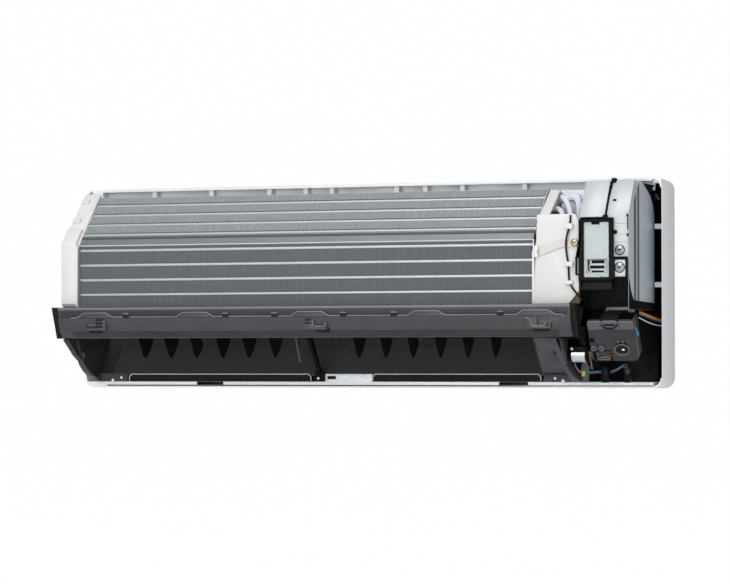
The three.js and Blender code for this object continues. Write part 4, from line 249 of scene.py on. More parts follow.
class Palette:
    """Builds each finish once, from shared shader groups."""

    def __init__(self) -> None:
        """Starts with no groups and no materials."""
        self.groups: dict[str, bpy.types.NodeTree] = {}
        self.made: dict[str, bpy.types.Material] = {}

    def empty(self, name: str, inputs: dict[str, str], outputs: Sequence[str]) -> tuple:
        """Starts a shader group.

        Args:
            name: the group's name.
            inputs: the kind of each input socket.
            outputs: names of its output sockets.

        Returns:
            The group, its input node and its output node.
        """
        tree = bpy.data.node_groups.new(name, "ShaderNodeTree")
        for label, kind in inputs.items():
            tree.interface.new_socket(name=label, in_out="INPUT", socket_type="NodeSocket" + kind)
        for label in outputs:
            tree.interface.new_socket(name=label, in_out="OUTPUT", socket_type="NodeSocketFloat")
        self.groups[name] = tree
        return tree, tree.nodes.new("NodeGroupInput"), tree.nodes.new("NodeGroupOutput")

    def group(self, grain: Grain) -> bpy.types.NodeTree:
        """Returns the shader group of a grain, built on first use.

        Args:
            grain: which effect the group makes.

        Returns:
            A group with a Tone mask, a Gloss mask and a Height.
        """
        if grain.value in self.groups:
            return self.groups[grain.value]
        labels = ("Tone", "Gloss", "Height")
        tree, inputs, outputs = self.empty(grain.value, {"Vector": "Vector", "Scale": "Float"}, labels)
        sockets: dict[Noise | str, bpy.types.NodeSocket] = {}
        for label, source in zip(labels, RECIPES[grain]):
            if source not in sockets:
                maker = self.noise if isinstance(source, Noise) else self.cells
                sockets[source] = maker(tree, inputs, source)
            tree.links.new(sockets[source], outputs.inputs[label])
        return tree

    def noise(self, tree: bpy.types.NodeTree, inputs: bpy.types.Node, noise: Noise) -> bpy.types.NodeSocket:
        """Adds a noise to a group.

        Args:
            tree: the group.
            inputs: its input node.
            noise: the noise's values.

        Returns:
            The noise's value socket.
        """
        vector = {"Vector": inputs.outputs["Vector"], "Scale": noise.stretch}
        scale = {0: inputs.outputs["Scale"], 1: noise.factor}
        values = {
            "Vector": add_node(tree, "Mapping", vector).outputs[0],
            "Scale": add_node(tree, "Math", scale, operation="MULTIPLY").outputs[0],
            "Detail": noise.detail,
        }
        return add_node(tree, "TexNoise", values).outputs["Fac"]

    def cells(self, tree: bpy.types.NodeTree, inputs: bpy.types.Node, channel: str) -> bpy.types.NodeSocket:
        """Adds a cell texture to a group.

        Args:
            tree: the group.
            inputs: its input node.
            channel: Distance, or a channel of the cells' colors.

        Returns:
            The channel's socket.
        """
        cells = add_node(tree, "TexVoronoi", {key: inputs.outputs[key] for key in ("Vector", "Scale")})
        if channel in cells.outputs:
            return cells.outputs[channel]
        return add_node(tree, "SeparateColor", {0: cells.outputs["Color"]}).outputs[channel]

    def rim(self) -> bpy.types.NodeTree:
        """Returns the group that finds a sheet's narrow faces, for sheets that stand across the width.

        Returns:
            A group whose Mask is 1 on those faces.
        """
        if "sheet_rim" in self.groups:
            return self.groups["sheet_rim"]
        tree, inputs, outputs = self.empty("sheet_rim", {"Normal": "Vector"}, ["Mask"])
        split = add_node(tree, "SeparateXYZ", {0: inputs.outputs[0]})
        size = add_node(tree, "Math", {0: split.outputs[0]}, operation="ABSOLUTE")
        narrow = add_node(tree, "Math", {0: size.outputs[0], 1: NARROW}, operation="LESS_THAN")
        tree.links.new(narrow.outputs[0], outputs.inputs[0])
        return tree

    def tones(
        self, tree: bpy.types.NodeTree, color: Color, spread: float, mask: bpy.types.NodeSocket
    ) -> bpy.types.NodeSocket:
        """Adds a mix between a color's darker and its lighter tone.

        Args:
            tree: the material's tree.
            color: the middle tone.
            spread: how far the tones lie from the middle.
            mask: what mixes them.

        Returns:
            The mixed color's socket.
        """
        dark, light = (tuple(min(1.0, max(0.0, c * (1 + way * spread))) for c in color) for way in (-1, 1))
        tones = {"A": (*dark, 1), "B": (*light, 1), "Factor": mask}
        return add_node(tree, "Mix", tones, data_type="RGBA").outputs["Result"]

    def material(self, finish: Finish) -> bpy.types.Material:
        """Returns the material of a finish.

        Args:
            finish: the values.

        Returns:
            A node material, made once for each finish.
        """
        if finish.name in self.made:
            return self.made[finish.name]
        material = bpy.data.materials.new(finish.name)
        material.use_nodes = True
        tree = material.node_tree
        place = add_node(tree, "TexCoord", {})
        values = {"Scale": finish.scale, "Vector": place.outputs["Object"]}
        grain = add_node(tree, "Group", values, node_tree=self.group(finish.grain))
        color = self.tones(tree, finish.color, finish.variation, grain.outputs["Tone"])
        # Painted highlight: narrow faces, such as the front edges of fins and vanes, get the lighter rim colour.
        if finish.rim:
            light = self.tones(tree, finish.rim, finish.variation, grain.outputs["Tone"])
            rim = add_node(tree, "Group", {}, node_tree=self.rim())
            tree.links.new(place.outputs["Normal"], rim.inputs[0])
            faces = {"Factor": rim.outputs[0], "A": color, "B": light}
            color = add_node(tree, "Mix", faces, data_type="RGBA").outputs["Result"]
        gloss = add_node(tree, "MapRange", {
            "To Min": max(SMOOTHEST, finish.roughness - GLOSS_SWING),
            "To Max": min(1.0, finish.roughness + GLOSS_SWING),
            "Value": grain.outputs["Gloss"],
        })
        relief = {"Strength": finish.depth, "Distance": GRAIN_HEIGHT, "Height": grain.outputs["Height"]}
        bump = add_node(tree, "Bump", relief)
        shader = tree.nodes["Principled BSDF"]
        for label, socket in (
            ("Base Color", color), ("Roughness", gloss.outputs["Result"]), ("Normal", bump.outputs["Normal"])
        ):
            tree.links.new(socket, shader.inputs[label])
        shader.inputs["Metallic"].default_value = finish.metallic
        shader.inputs["Coat Weight"].default_value = finish.coat
        shader.inputs["Specular IOR Level"].default_value = finish.gleam
        self.made[finish.name] = material
        return material


def at(across: float, depth: float, height: float) -> Vector:
    """The point at a place in millimetres: across the width, out from the wall and up."""
    return Vector((across, -depth, height)) * MM


def closed(shape: bmesh.types.BMesh, smooth: float = SHARP) -> bpy.types.Mesh:
    """Turns a bmesh into a mesh that is smooth below an angle.

    Args:
        shape: the bmesh, which is freed.
        smooth: angle in degrees above which an edge stays sharp.

    Returns:
        The mesh.
    """
    bmesh.ops.recalc_face_normals(shape, faces=shape.faces)
    mesh = bpy.data.meshes.new("shape")
    shape.to_mesh(mesh)
    shape.free()
    mesh.shade_smooth()
    mesh.set_sharp_from_angle(angle=math.radians(smooth))
    return mesh


def evaluated(mesh: bpy.types.Mesh | bpy.types.Curve, prepare: Callable[[bpy.types.Object], None]) -> bpy.types.Mesh:
    """Runs modifiers or a curve's own settings on a helper object that is removed again.

    Args:
        mesh: the mesh or the curve.
        prepare: sets modifiers on the helper object.

    Returns:
        The resulting mesh.
    """
    holder = bpy.data.objects.new("holder", mesh)
    bpy.context.scene.collection.objects.link(holder)
    prepare(holder)
    result = bpy.data.meshes.new_from_object(holder.evaluated_get(bpy.context.evaluated_depsgraph_get()))
    bpy.data.objects.remove(holder)
    return result


def rounded(shape: bmesh.types.BMesh, width: float, steps: int = 2) -> None:
    """Rounds the sharp edges of a shape.

    Args:
        shape: the bmesh.
        width: in millimetres, or 0 for none.
        steps: facets of the round.
    """
    if width <= 0:
        return
    corner = math.radians(CORNER)
    sharp = [e for e in shape.edges if e.is_manifold and e.calc_face_angle(0) > corner]
    bmesh.ops.bevel(
        shape,
        geom=sharp,
        offset=width * MM,
        segments=steps,
        profile=0.5,
        affect="EDGES",
        material=-1,
        clamp_overlap=True,
    )


def extruded(shape: bmesh.types.BMesh, faces: Sequence[bmesh.types.BMFace], run: Vector) -> None:
    """Gives faces a thickness.

    Args:
        shape: the bmesh.
        faces: the faces, which stay as the near side.
        run: the way to the far side.
    """
    wall = bmesh.ops.extrude_face_region(shape, geom=faces, use_keep_orig=True)
    moved = [item for item in wall["geom"] if isinstance(item, bmesh.types.BMVert)]
    bmesh.ops.translate(shape, verts=moved, vec=run)


def box(spans: Sequence[Pair], where: Where) -> bmesh.types.BMesh:
    """A plain box between two places on each axis, to be worked on.

    Args:
        spans: its ends across the width, out from the wall and up, in millimetres.
        where: turns a place in millimetres into a point.

    Returns:
        The bmesh.
    """
    shape = bmesh.new()
    middle = where(*(sum(span) / 2 for span in spans))
    size = tuple(abs(end - start) * MM for start, end in spans)
    bmesh.ops.create_cube(shape, size=1.0, matrix=Matrix.LocRotScale(middle, None, size))
    return shape


def sheet(corners: Sequence[Vector], run: Vector, edge: float) -> bpy.types.Mesh:
    """A flat outline with a thickness.

    Args:
        corners: the outline's points.
        run: the way from its near to its far side.
        edge: width of its rounded edges, in millimetres.

    Returns:
        The mesh.
    """
    shape = bmesh.new()
    extruded(shape, [shape.faces.new([shape.verts.new(corner) for corner in corners])], run)
    bmesh.ops.recalc_face_normals(shape, faces=shape.faces)
    rounded(shape, edge)
    return closed(shape)


def tube(points: Sequence[Vector], diameter: float, sides: int = 12, bent: bool = False) -> bpy.types.Mesh:
    """A round tube through points, with closed ends.

    Args:
        points: the centre line, in metres.
        diameter: in millimetres.
        sides: corners of the section.
        bent: whether the line is rounded between the points.

    Returns:
        The mesh.
    """
    curve = bpy.data.curves.new("tube", "CURVE")
    curve.dimensions = "3D"
    spline = curve.splines.new("NURBS" if bent else "POLY")
    spline.points.add(len(points) - 1)
    for point, place in zip(spline.points, points):
        point.co = (*place, 1)
    if bent:
        spline.use_endpoint_u = True
        spline.order_u = 3
        spline.resolution_u = 5
    curve.bevel_depth = diameter / 2 * MM
    curve.bevel_resolution = max(0, sides // 2 - 2)
    curve.use_fill_caps = True
    mesh = evaluated(curve, lambda holder: None)
    mesh.shade_smooth()
    mesh.set_sharp_from_angle(angle=math.radians(TUBE_SHARP))
    return mesh


@dataclass(frozen=True)
class Block:
    """A block with rounded edges between two places on each axis."""

    wide: Pair
    deep: Pair
    high: Pair
    edge: float = 0.3

    def mesh(self, where: Where) -> bpy.types.Mesh:
        """Makes the block.

        Args:
            where: turns a place in millimetres into a point.

        Returns:
            The mesh.
        """
        spans = (self.wide, self.deep, self.high)
        shape = box(spans, where)
        rounded(shape, min(self.edge, *(abs(end - start) * WIDEST_ROUND for start, end in spans)))
        return closed(shape)


@dataclass(frozen=True)
class Flat:
    """A flat outline, the way to its far side and the width of its rounded edges."""

    corners: Sequence[Place]
    run: Place
    edge: float = 0.3

    def mesh(self, where: Where) -> bpy.types.Mesh:
        """Makes the sheet.

        Args:
            where: turns a place in millimetres into a point.

        Returns:
            The mesh.
        """
        corners = [where(*corner) for corner in self.corners]
        return sheet(corners, where(*self.run) - where(0, 0, 0), self.edge)


@dataclass(frozen=True)
class Rod:
    """A round rod or wire through places; a bent one is rounded between them."""

    points: Sequence[Place]
    diameter: float
    sides: int = 12
    bent: bool = False

    def mesh(self, where: Where) -> bpy.types.Mesh:
        """Makes the rod.

        Args:
            where: turns a place in millimetres into a point.

        Returns:
            The mesh.
        """
        return tube([where(*point) for point in self.points], self.diameter, self.sides, self.bent)


@dataclass(frozen=True)
class Turning:
    """A turned shape: radius and height along its profile, its foot's middle and its axis."""

    profile: Sequence[Pair]
    place: Place
    steps: int = 24
    axis: Place = OUT
    oval: float = 1.0

    def mesh(self, where: Where) -> bpy.types.Mesh:
        """Spins the profile and presses it into an oval where that is asked for.

        Args:
            where: turns a place in millimetres into a point.

        Returns:
            The mesh.
        """
        shape = bmesh.new()
        line = [shape.verts.new((radius * MM, 0, height * MM)) for radius, height in self.profile]
        edges = [shape.edges.new(pair) for pair in zip(line, line[1:])]
        bmesh.ops.spin(
            shape,
            geom=[*line, *edges],
            cent=(0, 0, 0),
            axis=(0, 0, 1),
            angle=2 * math.pi,
            steps=self.steps,
            use_merge=True,
            use_duplicate=False,
        )
        bmesh.ops.remove_doubles(shape, verts=shape.verts, dist=WELD)
        origin, foot = where(0, 0, 0), where(*self.place)
        turn = (where(*self.axis) - origin).to_track_quat("Z", "Y").to_matrix().to_4x4()
        bmesh.ops.transform(shape, matrix=Matrix.Translation(foot) @ turn, verts=shape.verts)
        mesh = closed(shape)
        if self.oval != 1.0:
            up = (where(0, 1, 0) - origin).normalized()
            for vertex in mesh.vertices:
                vertex.co -= up * (vertex.co - foot).dot(up) * (1 - self.oval)
        return mesh


@dataclass(frozen=True)
class Bead:
    """An oval bead along the width: its ends, the depth and height of its middle, and its section."""

    wide: Pair
    middle: Pair
    size: Pair
    sides: int = 14
    smooth: float = 40.0

    def mesh(self, where: Where) -> bpy.types.Mesh:
        """Makes the bead.

        Args:
            where: turns a place in millimetres into a point.

        Returns:
            The mesh.
        """
        shape = bmesh.new()
        bmesh.ops.create_circle(shape, cap_ends=True, radius=0.5 * MM, segments=self.sides)
        turn = Matrix.Rotation(math.radians(90), 4, "Y")
        scale = Matrix.Diagonal((1, *self.size, 1))
        move = Matrix.Translation(where(self.wide[0], *self.middle))
        bmesh.ops.transform(shape, matrix=move @ scale @ turn, verts=shape.verts)
        extruded(shape, list(shape.faces), at(self.wide[1] - self.wide[0], 0, 0))
        return closed(shape, self.smooth)


@dataclass(frozen=True)
class Pressing:
    """A plate with a pocket pressed into its face, and the steps of the pocket's rim."""

    wide: Pair
    deep: Pair
    high: Pair
    pocket: tuple[Pair, Pair]
    rim: tuple[Pair, ...] = ((0.2, 0.5), (0.7, 0.0), (2.4, -2.1))
    smooth: float = 25.0

    def mesh(self, where: Where) -> bpy.types.Mesh:
        """Cuts the face round the pocket and presses it in.

        Args:
            where: turns a place in millimetres into a point.

        Returns:
            The mesh.
        """
        shape = box((self.wide, self.deep, self.high), where)
        for normal, ends in zip((Vector((1, 0, 0)), Vector((0, 0, 1))), self.pocket):
            for place in ends:
                geometry = [*shape.verts, *shape.edges, *shape.faces]
                bmesh.ops.bisect_plane(shape, geom=geometry, plane_co=normal * place * MM, plane_no=normal)
        goal = where(sum(self.pocket[0]) / 2, self.deep[1], sum(self.pocket[1]) / 2)
        floor = min(shape.faces, key=lambda face: (face.calc_center_median() - goal).length)
        for width, rise in self.rim:
            bmesh.ops.inset_individual(
                shape, faces=[floor], thickness=width * MM, depth=rise * MM, use_even_offset=True
            )
        return closed(shape, self.smooth)


Shape = Block | Flat | Rod | Turning | Bead | Pressing


def section(across: float, outline: Sequence[Pair], thick: float, edge: float = 0.3) -> Flat:
    """A sheet that stands across the width.

    Args:
        across: where its left side lies.
        outline: depth and height of its corners.
        thick: its thickness.
        edge: width of its rounded edges.

    Returns:
        The sheet.
    """
    return Flat([(across, *corner) for corner in outline], (thick, 0, 0), edge)


def upright(depth: float, outline: Sequence[Pair], run: float, edge: float = 0.3) -> Flat:
    """A sheet that stands parallel to the wall.

    Args:
        depth: where its near side lies.
        outline: place across the width and height of its corners.
        run: how far out from the wall its far side lies from there.
        edge: width of its rounded edges.

    Returns:
        The sheet.
    """
    return Flat([(across, depth, height) for across, height in outline], (0, run, 0), edge)


def patch(wide: Pair, high: Pair, out: Pair, edge: float = 0.3) -> Flat:
    """A rectangle on the receiver's tilted face.

    Args:
        wide: its ends across the face.
        high: its ends up the face.
        out: its two sides, out of the face.
        edge: width of its rounded edges.

    Returns:
        The sheet.
    """
    corners = [(x, y, out[0]) for x, y in zip((*wide, *wide[::-1]), (high[0], *high, high[1]))]
    return Flat(corners, (0, 0, out[1] - out[0]), edge)


@dataclass(frozen=True)
class Piece:
    """A new piece: its finish and slot of the record, its shapes and the nodes that it stands for."""

    name: str
    finish: Finish
    slot: str
    shapes: Sequence[Shape]
    replaces: Sequence[str] = ()


def screw(name: str, place: Place, radius: float, finish: Finish) -> list[Piece]:
    """A round-headed screw with a cross recess, its axis out from the wall.

    Args:
        name: the screw's name.
        place: the middle of its seat.
        radius: of its washer.
        finish: its finish.

    Returns:
        Its head, a black ring round its foot as painted shadow, and its recess filled black as painted shade.
    """
    rise = radius * SCREW_RISE
    head = [*((radius * out, rise * up) for out, up in SCREW_HEAD), (radius, -SCREW_FOOT), (0, -SCREW_FOOT)]
    wide = radius * SCREW_SHADOW_WIDTH
    seat = [(0, SCREW_SHADE), (wide, SCREW_SHADE), (wide, -SCREW_FOOT), (0, -SCREW_FOOT)]
    long, thin = (radius * share for share in SCREW_CROSS)
    across, depth, height = place
    bars = []
    for wide, tall in ((thin, long), (long, thin)):
        corners = [(across + a * wide, height + b * tall) for a, b in SQUARE]
        bars.append(upright(depth + rise * SCREW_FLOOR, corners, rise * SCREW_CUT, 0.0))
    return [
        Piece(name, finish, "sheet_steel", [Turning(head, place, 28)]),
        Piece(name + "_shadow_ring", RUBBER, "rubber_black", [Turning(seat, place, 28)]),
        Piece(name + "_recess_shade", RUBBER, "rubber_black", bars),
    ]


class Workshop:
    """Dresses the frame's nodes and hands new pieces to it."""

    def __init__(self, frame: dict) -> None:
        """Keeps the frame's nodes and starts a palette.
        """
        self.nodes: dict[str, bpy.types.Object] = frame["nodes"]
        bodies = frame["record"]["behaviour"]["bodies"]
        self.body_of = {node: body for body, nodes in bodies.items() for node in nodes}
        self.palette = Palette()
        self.count = 0

    def dress(self, finish: Finish, *nodes: str) -> None:
        """Gives carried-over nodes their material.

        Args:
            finish: the material's values.
            nodes: names of the nodes.
        """
        for node in nodes:
            mesh = self.nodes[node].data
            mesh.materials.clear()
            mesh.materials.append(self.palette.material(finish))

    def joined(self, name: str, meshes: Sequence[bpy.types.Mesh]) -> bpy.types.Mesh:
        """Makes one mesh of several.

        Args:
            name: the new mesh's name.
            meshes: the meshes, already in place.

        Returns:
            The mesh, or the only one as it is.
        """
        if len(meshes) == 1:
            meshes[0].name = name
            return meshes[0]
        shape = bmesh.new()
        for part in meshes:
            shape.from_mesh(part)
        mesh = bpy.data.meshes.new(name)
        shape.to_mesh(mesh)
        shape.free()
        mesh.shade_smooth()
        mesh.set_sharp_from_angle(angle=math.radians(SHARP))
        return mesh

    def add(
        self,
        name: str,
        meshes: Sequence[bpy.types.Mesh],
        finish: Finish,
        slot: str | None = None,
        body: str = "casing",
        replaces: Sequence[str] = (),
    ) -> None:
        """Links a piece, dresses it and ties it to its body.

        Args:
            name: the piece's name.
            meshes: the meshes that make it, already in place.
            finish: its finish.
            slot: material slot of the record; not used.
            body: the body that it moves with.
            replaces: nodes that it stands for.
        """
        mesh = self.joined(name, meshes)
        mesh.materials.clear()
        mesh.materials.append(self.palette.material(finish))
        piece = bpy.data.objects.new(name, mesh)
        bpy.context.scene.collection.objects.link(piece)
        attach(piece, body)
        if replaces:
            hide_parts(*replaces)
        self.count += 1
        LOG.info("%s rides on %s", name, body)

    def place(self, pieces: Sequence[Piece], where: Where) -> None:
        """Makes pieces and adds them.

        Args:
            pieces: the pieces, in order.
            where: turns their places into points.
        """
        for piece in pieces:
            meshes = [shape.mesh(where) for shape in piece.shapes]
            self.add(piece.name, meshes, piece.finish, piece.slot, replaces=piece.replaces)

    def softened(self, node: str, finish: Finish, width: float, steps: int) -> None:
        """Replaces a node by a copy of itself with rounded edges.

        Args:
            node: the node's name.
            finish: its finish.
            width: bevel width in millimetres.
            steps: facets of each round.
        """
        shape = bmesh.new()
        shape.from_mesh(self.nodes[node].data)
        bmesh.ops.remove_doubles(shape, verts=shape.verts, dist=2 * WELD)
        flat = math.radians(FLAT_WITHIN)
        bmesh.ops.dissolve_limit(shape, angle_limit=flat, verts=shape.verts, edges=shape.edges, delimit={"NORMAL"})
        rough = bpy.data.meshes.new(node + "_edges")
        shape.to_mesh(rough)
        shape.free()

        def edges(holder: bpy.types.Object) -> None:
            """Sets the bevel that rounds the edges.

            Args:
                holder: the helper object.
            """
            bevel = holder.modifiers.new("edges", "BEVEL")
            bevel.width = width * MM
            bevel.segments = steps
            bevel.limit_method = "ANGLE"
            bevel.angle_limit = math.radians(SHARP)

        final = evaluated(rough, edges)
        final.shade_smooth()
        final.set_sharp_from_angle(angle=math.radians(BEVEL_SHARP))
        self.add(node + "_finished", [final], finish, None, self.body_of[node], [node])


# The new pieces, by assembly. Places are in millimetres: across the width, out from the wall and up.
CASING = [
    Piece("side_backing", BACKING, "trim_black", [
        Block((300, 348), (2.56, 2.7), (-75, 44), 0.05),
        Block((348, 431.8), (2.56, 2.7), (-136, 118), 0.05),
    ]),
    Piece("corner_shade", BLACK, "trim_black", [
        upright(40, ((407, 142), (431, 142), (431, 108), (426, 112), (420, 124), (409, 132)), -4, 0.6)
    ]),
    Piece("corner_clip", WHITE, "casing_white", [Block((420.5, 433), (52, 66), (137, 143.6), 1.0)]),
    Piece("rail_foot", WHITE, "casing_white", [Block((284, 421.6), (2.7, 69.6), (-142.3, -136.7), 0.4)]),
    # Painted shade: a grey line under the step from the rail to its bottom flange.
    Piece("rail_step_shade", SHADED, "casing_white", [Block((-400, 421.6), (69.6, 70.0), (-143.0, -140.9), 0.12)]),
    # Painted shade: black fills inside the rail's slots, where the openings lie in shade.
    Piece("middle_slot_shade", RUBBER, "rubber_black", [Block((-55.2, -42.5), (69.9, 70.4), (-133.0, -128.4), 0.15)]),
    Piece("rail_slot_shades", BLACK, "trim_black", [
        Block(wide, (69.4, 70.3), (-140.8, -136.7)) for wide in ((-257.0, -216.0), (202.0, 243.0))
    ]),
    Piece("middle_tabs", WHITE, "casing_white", [
        Block((-36, -22), (70.0, 71.4), (-131.5, -126.5), 0.5),
        Block((-17, -5), (70.0, 71.2), (-132.5, -127), 0.5),
        Block((-2.5, 1.2), (70.0, 71.6), (-133, -126), 0.5),
    ]),
    Piece("rail_marks", ZINC, "sheet_steel", [
        Block((start, start + 1.8), (69.98, 70.3), (-138, -136.9), 0.1) for start in (32, 130, -190, -300)
    ]),
]

SIDE_PARTS = [
    Piece("pipe_wraps", WRAP, "seal_foam", [
        Rod(((341.5, 98, -32), (341.5, 98, -103), (341.5, 91, -110.6), (341.5, 10, -110.6)), 13.5, 16),
        Rod(((341.5, 50, -20), (341.5, 50, -91), (341.5, 44, -97), (341.5, 10, -97)), 10.5, 16),
        Block((330, 374), (28.1, 29.0), (-136, -60)),
    ]),
    Piece("cover_edges", COVER, "part_white", [
        Block((-395.4, -392.9), (183.5, 186.9), (-30.4, 57), 0.2),
        section(-395.4, ((186, 55), (152, 90), (110, 134), (107, 131), (149, 87), (183, 52)), 2.5, 0.2),
        Block((283.3, 286.6), (181.6, 184.2), (-30.4, 42)),
        section(-417.8, ((186.3, 58), (186.3, 63.4), (168, 82), (150, 82), (150, 58)), 22.6, 1.5),
    ]),
    Piece("pipe_sleeves", SLEEVE, "pipe_white", [
        Rod(line, size, 16, True)
        for size, line in (
            (8.0, ((297, 116, 108), (301, 118, 116.5), (309, 124, 117), (318, 134, 110), (326, 146, 98),
                   (330, 152, 84))),
            (6.5, ((300, 106, 118), (308, 112, 122), (317, 118, 119), (327, 124, 111), (336, 131, 101),
                   (342, 136, 90))),
            (7.0, ((297, 138, 100), (303, 140, 101.5), (311, 145, 99), (317, 151, 93), (319, 155, 86))),
        )
    ]),
    Piece("pipe_back", WHITE, "casing_white", [Block((298, 349.2), (90, 91.5), (80, 128), 0.7)]),
    Piece("wire_tabs", COVER, "part_white", [
        Block((330.5, 342), (184.2, 190.0), high, 1.0) for high in ((70.0, 77.0), (19.5, 26.0), (-4.5, 0.5))
    ]),
    Piece("sensor_wire", RUBBER, "rubber_black", [
        Rod((
            (338.6, 187.4, 89), (338.0, 187.4, 74), (334.4, 188.6, 64), (332.4, 189.2, 53), (332.6, 188.8, 42),
            (334.2, 187.6, 30), (335.6, 187.2, 22), (336, 187.2, 4), (337, 187.2, -3), (344, 187.6, -14),
            (355, 187.4, -26),
        ), 2.6, 12, True)
    ], ["sensor_lead"]),
    *screw("bracket_screw", (343.6, 186.1, 51.6), 4.4, BRASS),
    Piece("strap_block", COVER, "part_white", [Block((286.1, 293.4), (184.3, 188.0), (32.3, 48.4), 0.8)]),
    Piece("strap_tag", TAG, "part_white", [Block((291.4, 294.2), (186.0, 188.2), (36.5, 43.5), 0.6)]),
    Piece("corner_foam", TAN, "seal_foam", [
        upright(181, ((333.5, -30.2), (349, -30.2), (349, -10), (345, -12)), -6, 0.5)
    ]),
]

VENTS = (((367.4, 385.3), (23.2, 27.6)), ((365.2, 385.3), (16.2, 20.6)), ((367.4, 384.6), (10.2, 13.9)))
CONTROL_BOX = [
    Piece("pressed_plate", PLATE, "sheet_steel", [
        Pressing((356.8, 392.2), (184.3, 186.3), (4.8, 78.5), ((359.0, 390.0), (8.6, 30.0)))
    ], ["terminal_plate"]),
    Piece("vent_frames", ZINC, "sheet_steel", [
        *(
            Block((wide[0] - 1.3, wide[1] + 1.3), (184.5, 185.1), (high[0] - 1.1, high[1] + 1.1))
            for wide, high in VENTS
        ),
        Rod(((360.4, 186.0, 29.4), (360.2, 185.6, 22), (361.6, 185.4, 14), (364.6, 185.6, 9.6),
             (388.6, 185.8, 9.4)), 1.9, 10),
        Rod(((388.8, 185.8, 9.4), (388.8, 185.8, 29.2)), 1.5, 10),
    ]),
    Piece("plate_slots", BLACK, "trim_black", [
        *(Block(wide, (184.9, 185.3), high, 0.15) for wide, high in VENTS),
        Block((362.3, 364.8), (184.6, 185.0), (13, 28.2), 0.15),
        Block((367.6, 378.8), (186.2, 187.6), (75.4, 79.5), 0.4),
    ]),
    Piece("plate_tab", PLATE, "sheet_steel", [Block((370.4, 381.6), (186.0, 190.9), (1.6, 6.0), 0.4)]),
    Piece("side_sheet", SIDE_ZINC, "sheet_steel", [
        section(418.3, ((184.6, -37.4), (184.6, 84.8), (160, 110), (134, 134.6), (49, 134.6), (49, -37.4)), 0.35, 0.0)
    ]),
    # Painted shade: dark bands over the side sheet's pressed grooves.
    Piece("side_groove_shades", GROOVE_SHADE, "sheet_steel", [
        section(418.6, ((158, -36), (158, 108), (146, 120), (146, -36)), 0.15, 0.0),
        section(418.6, ((140, -36), (140, 127), (130, 134), (130, -36)), 0.15, 0.0),
    ]),
    Piece("side_shade", BLACK, "trim_black", [
        section(418.9, ((112, 134.8), (49, 134.8), (49, 88), (56, 106), (70, 119), (90, 127)), 0.3, 0.0)
    ]),
    Piece("side_wrap", WRAP, "trim_black", [
        section(418.9, ((185.5, 4), (176, -14), (162, -26), (49, -28), (49, -38), (185.5, -38)), 0.8)
    ]),
    Piece("shield_seams", STRIP, "sheet_steel", [
        Block((400, 417.5), (185.85, 186.0), (level - 0.3, level + 0.3), 0.06) for level in (76.3, 62.2, 51.5)
    ]),
    Piece("shield_marks", BLACK, "trim_black", [
        Block((416, 418.4), (185.7, 186.6), (84.8, 89.2)),
        Block((416.6, 419.0), (185.7, 186.6), (58.8, 63.2)),
        Block((417, 418.4), (185.6, 186.3), (68, 84), 0.2),
    ]),
    Piece("shield_slot", BLACK, "trim_black", [
        Flat((
            (393.8, 173.249, 107.0884), (398.6, 173.249, 107.0884), (398.6, 171.447, 109.9716),
            (393.8, 171.447, 109.9716),
        ), (0, 0.5088, 0.318), 0.2)
    ]),
    Piece("shield_pin", BLACK, "trim_black", [
        Turning(((0, 2.6), (1.8, 2.3), (2.7, 1.2), (2.9, 0), (0, 0)), (400.5, 185.8, 65), 20)
    ]),
    Piece("shield_wire", RUBBER, "rubber_black", [
        Rod(((391.5, 150, 138.4), (390, 156, 135), (388.3, 165, 121), (387.6, 173, 107), (387.2, 181, 94),
             (387, 187, 85)), 1.5, 10, True)
    ]),
    Piece("wire_clips", BLACK, "trim_black", [
        Block((387.5, 394.0), (150, 158), (132.5, 139.5), 1.2),
        Block((383.5, 390.5), (184.4, 189.0), (82.0, 88.2), 1.0),
    ]),
    *screw("shield_screw", (406.7, 186.0, 40.8), 6.0, SCREW),
    Piece("square_plate", ZINC, "sheet_steel", [Block((399.6, 416.2), (186.0, 189.2), (4.6, 28.2), 0.6)]),
    *screw("square_screw", (407.4, 189.3, 17.4), 6.2, SCREW),
    Piece("frame_skirt", RUBBER, "trim_black", [Block((354.8, 396.2), (184.2, 187.5), (-12.5, -1.2), 0.8)]),
]

CABLE_COVER = [
    Piece("cable_cover", TRIM, "trim_black", [
        Block((381.5, 418.9), (151, 171), (-46.4, -34.6), 3.5),
        Block((367.5, 384), (149, 169), (-48.6, -43.6), 2.2),
    ]),
]
CUP = (43.2, 16.6, 0)
GUIDE_RING = ((1.5, 2.6), (3.5, 2.6), (4.0, 2.0), (4.0, -0.4), (1.5, -0.4), (1.5, 2.6))
BUMP = ((0, 1.6), (1.4, 1.3), (1.9, 0.5), (1.9, -0.3), (0, -0.3))
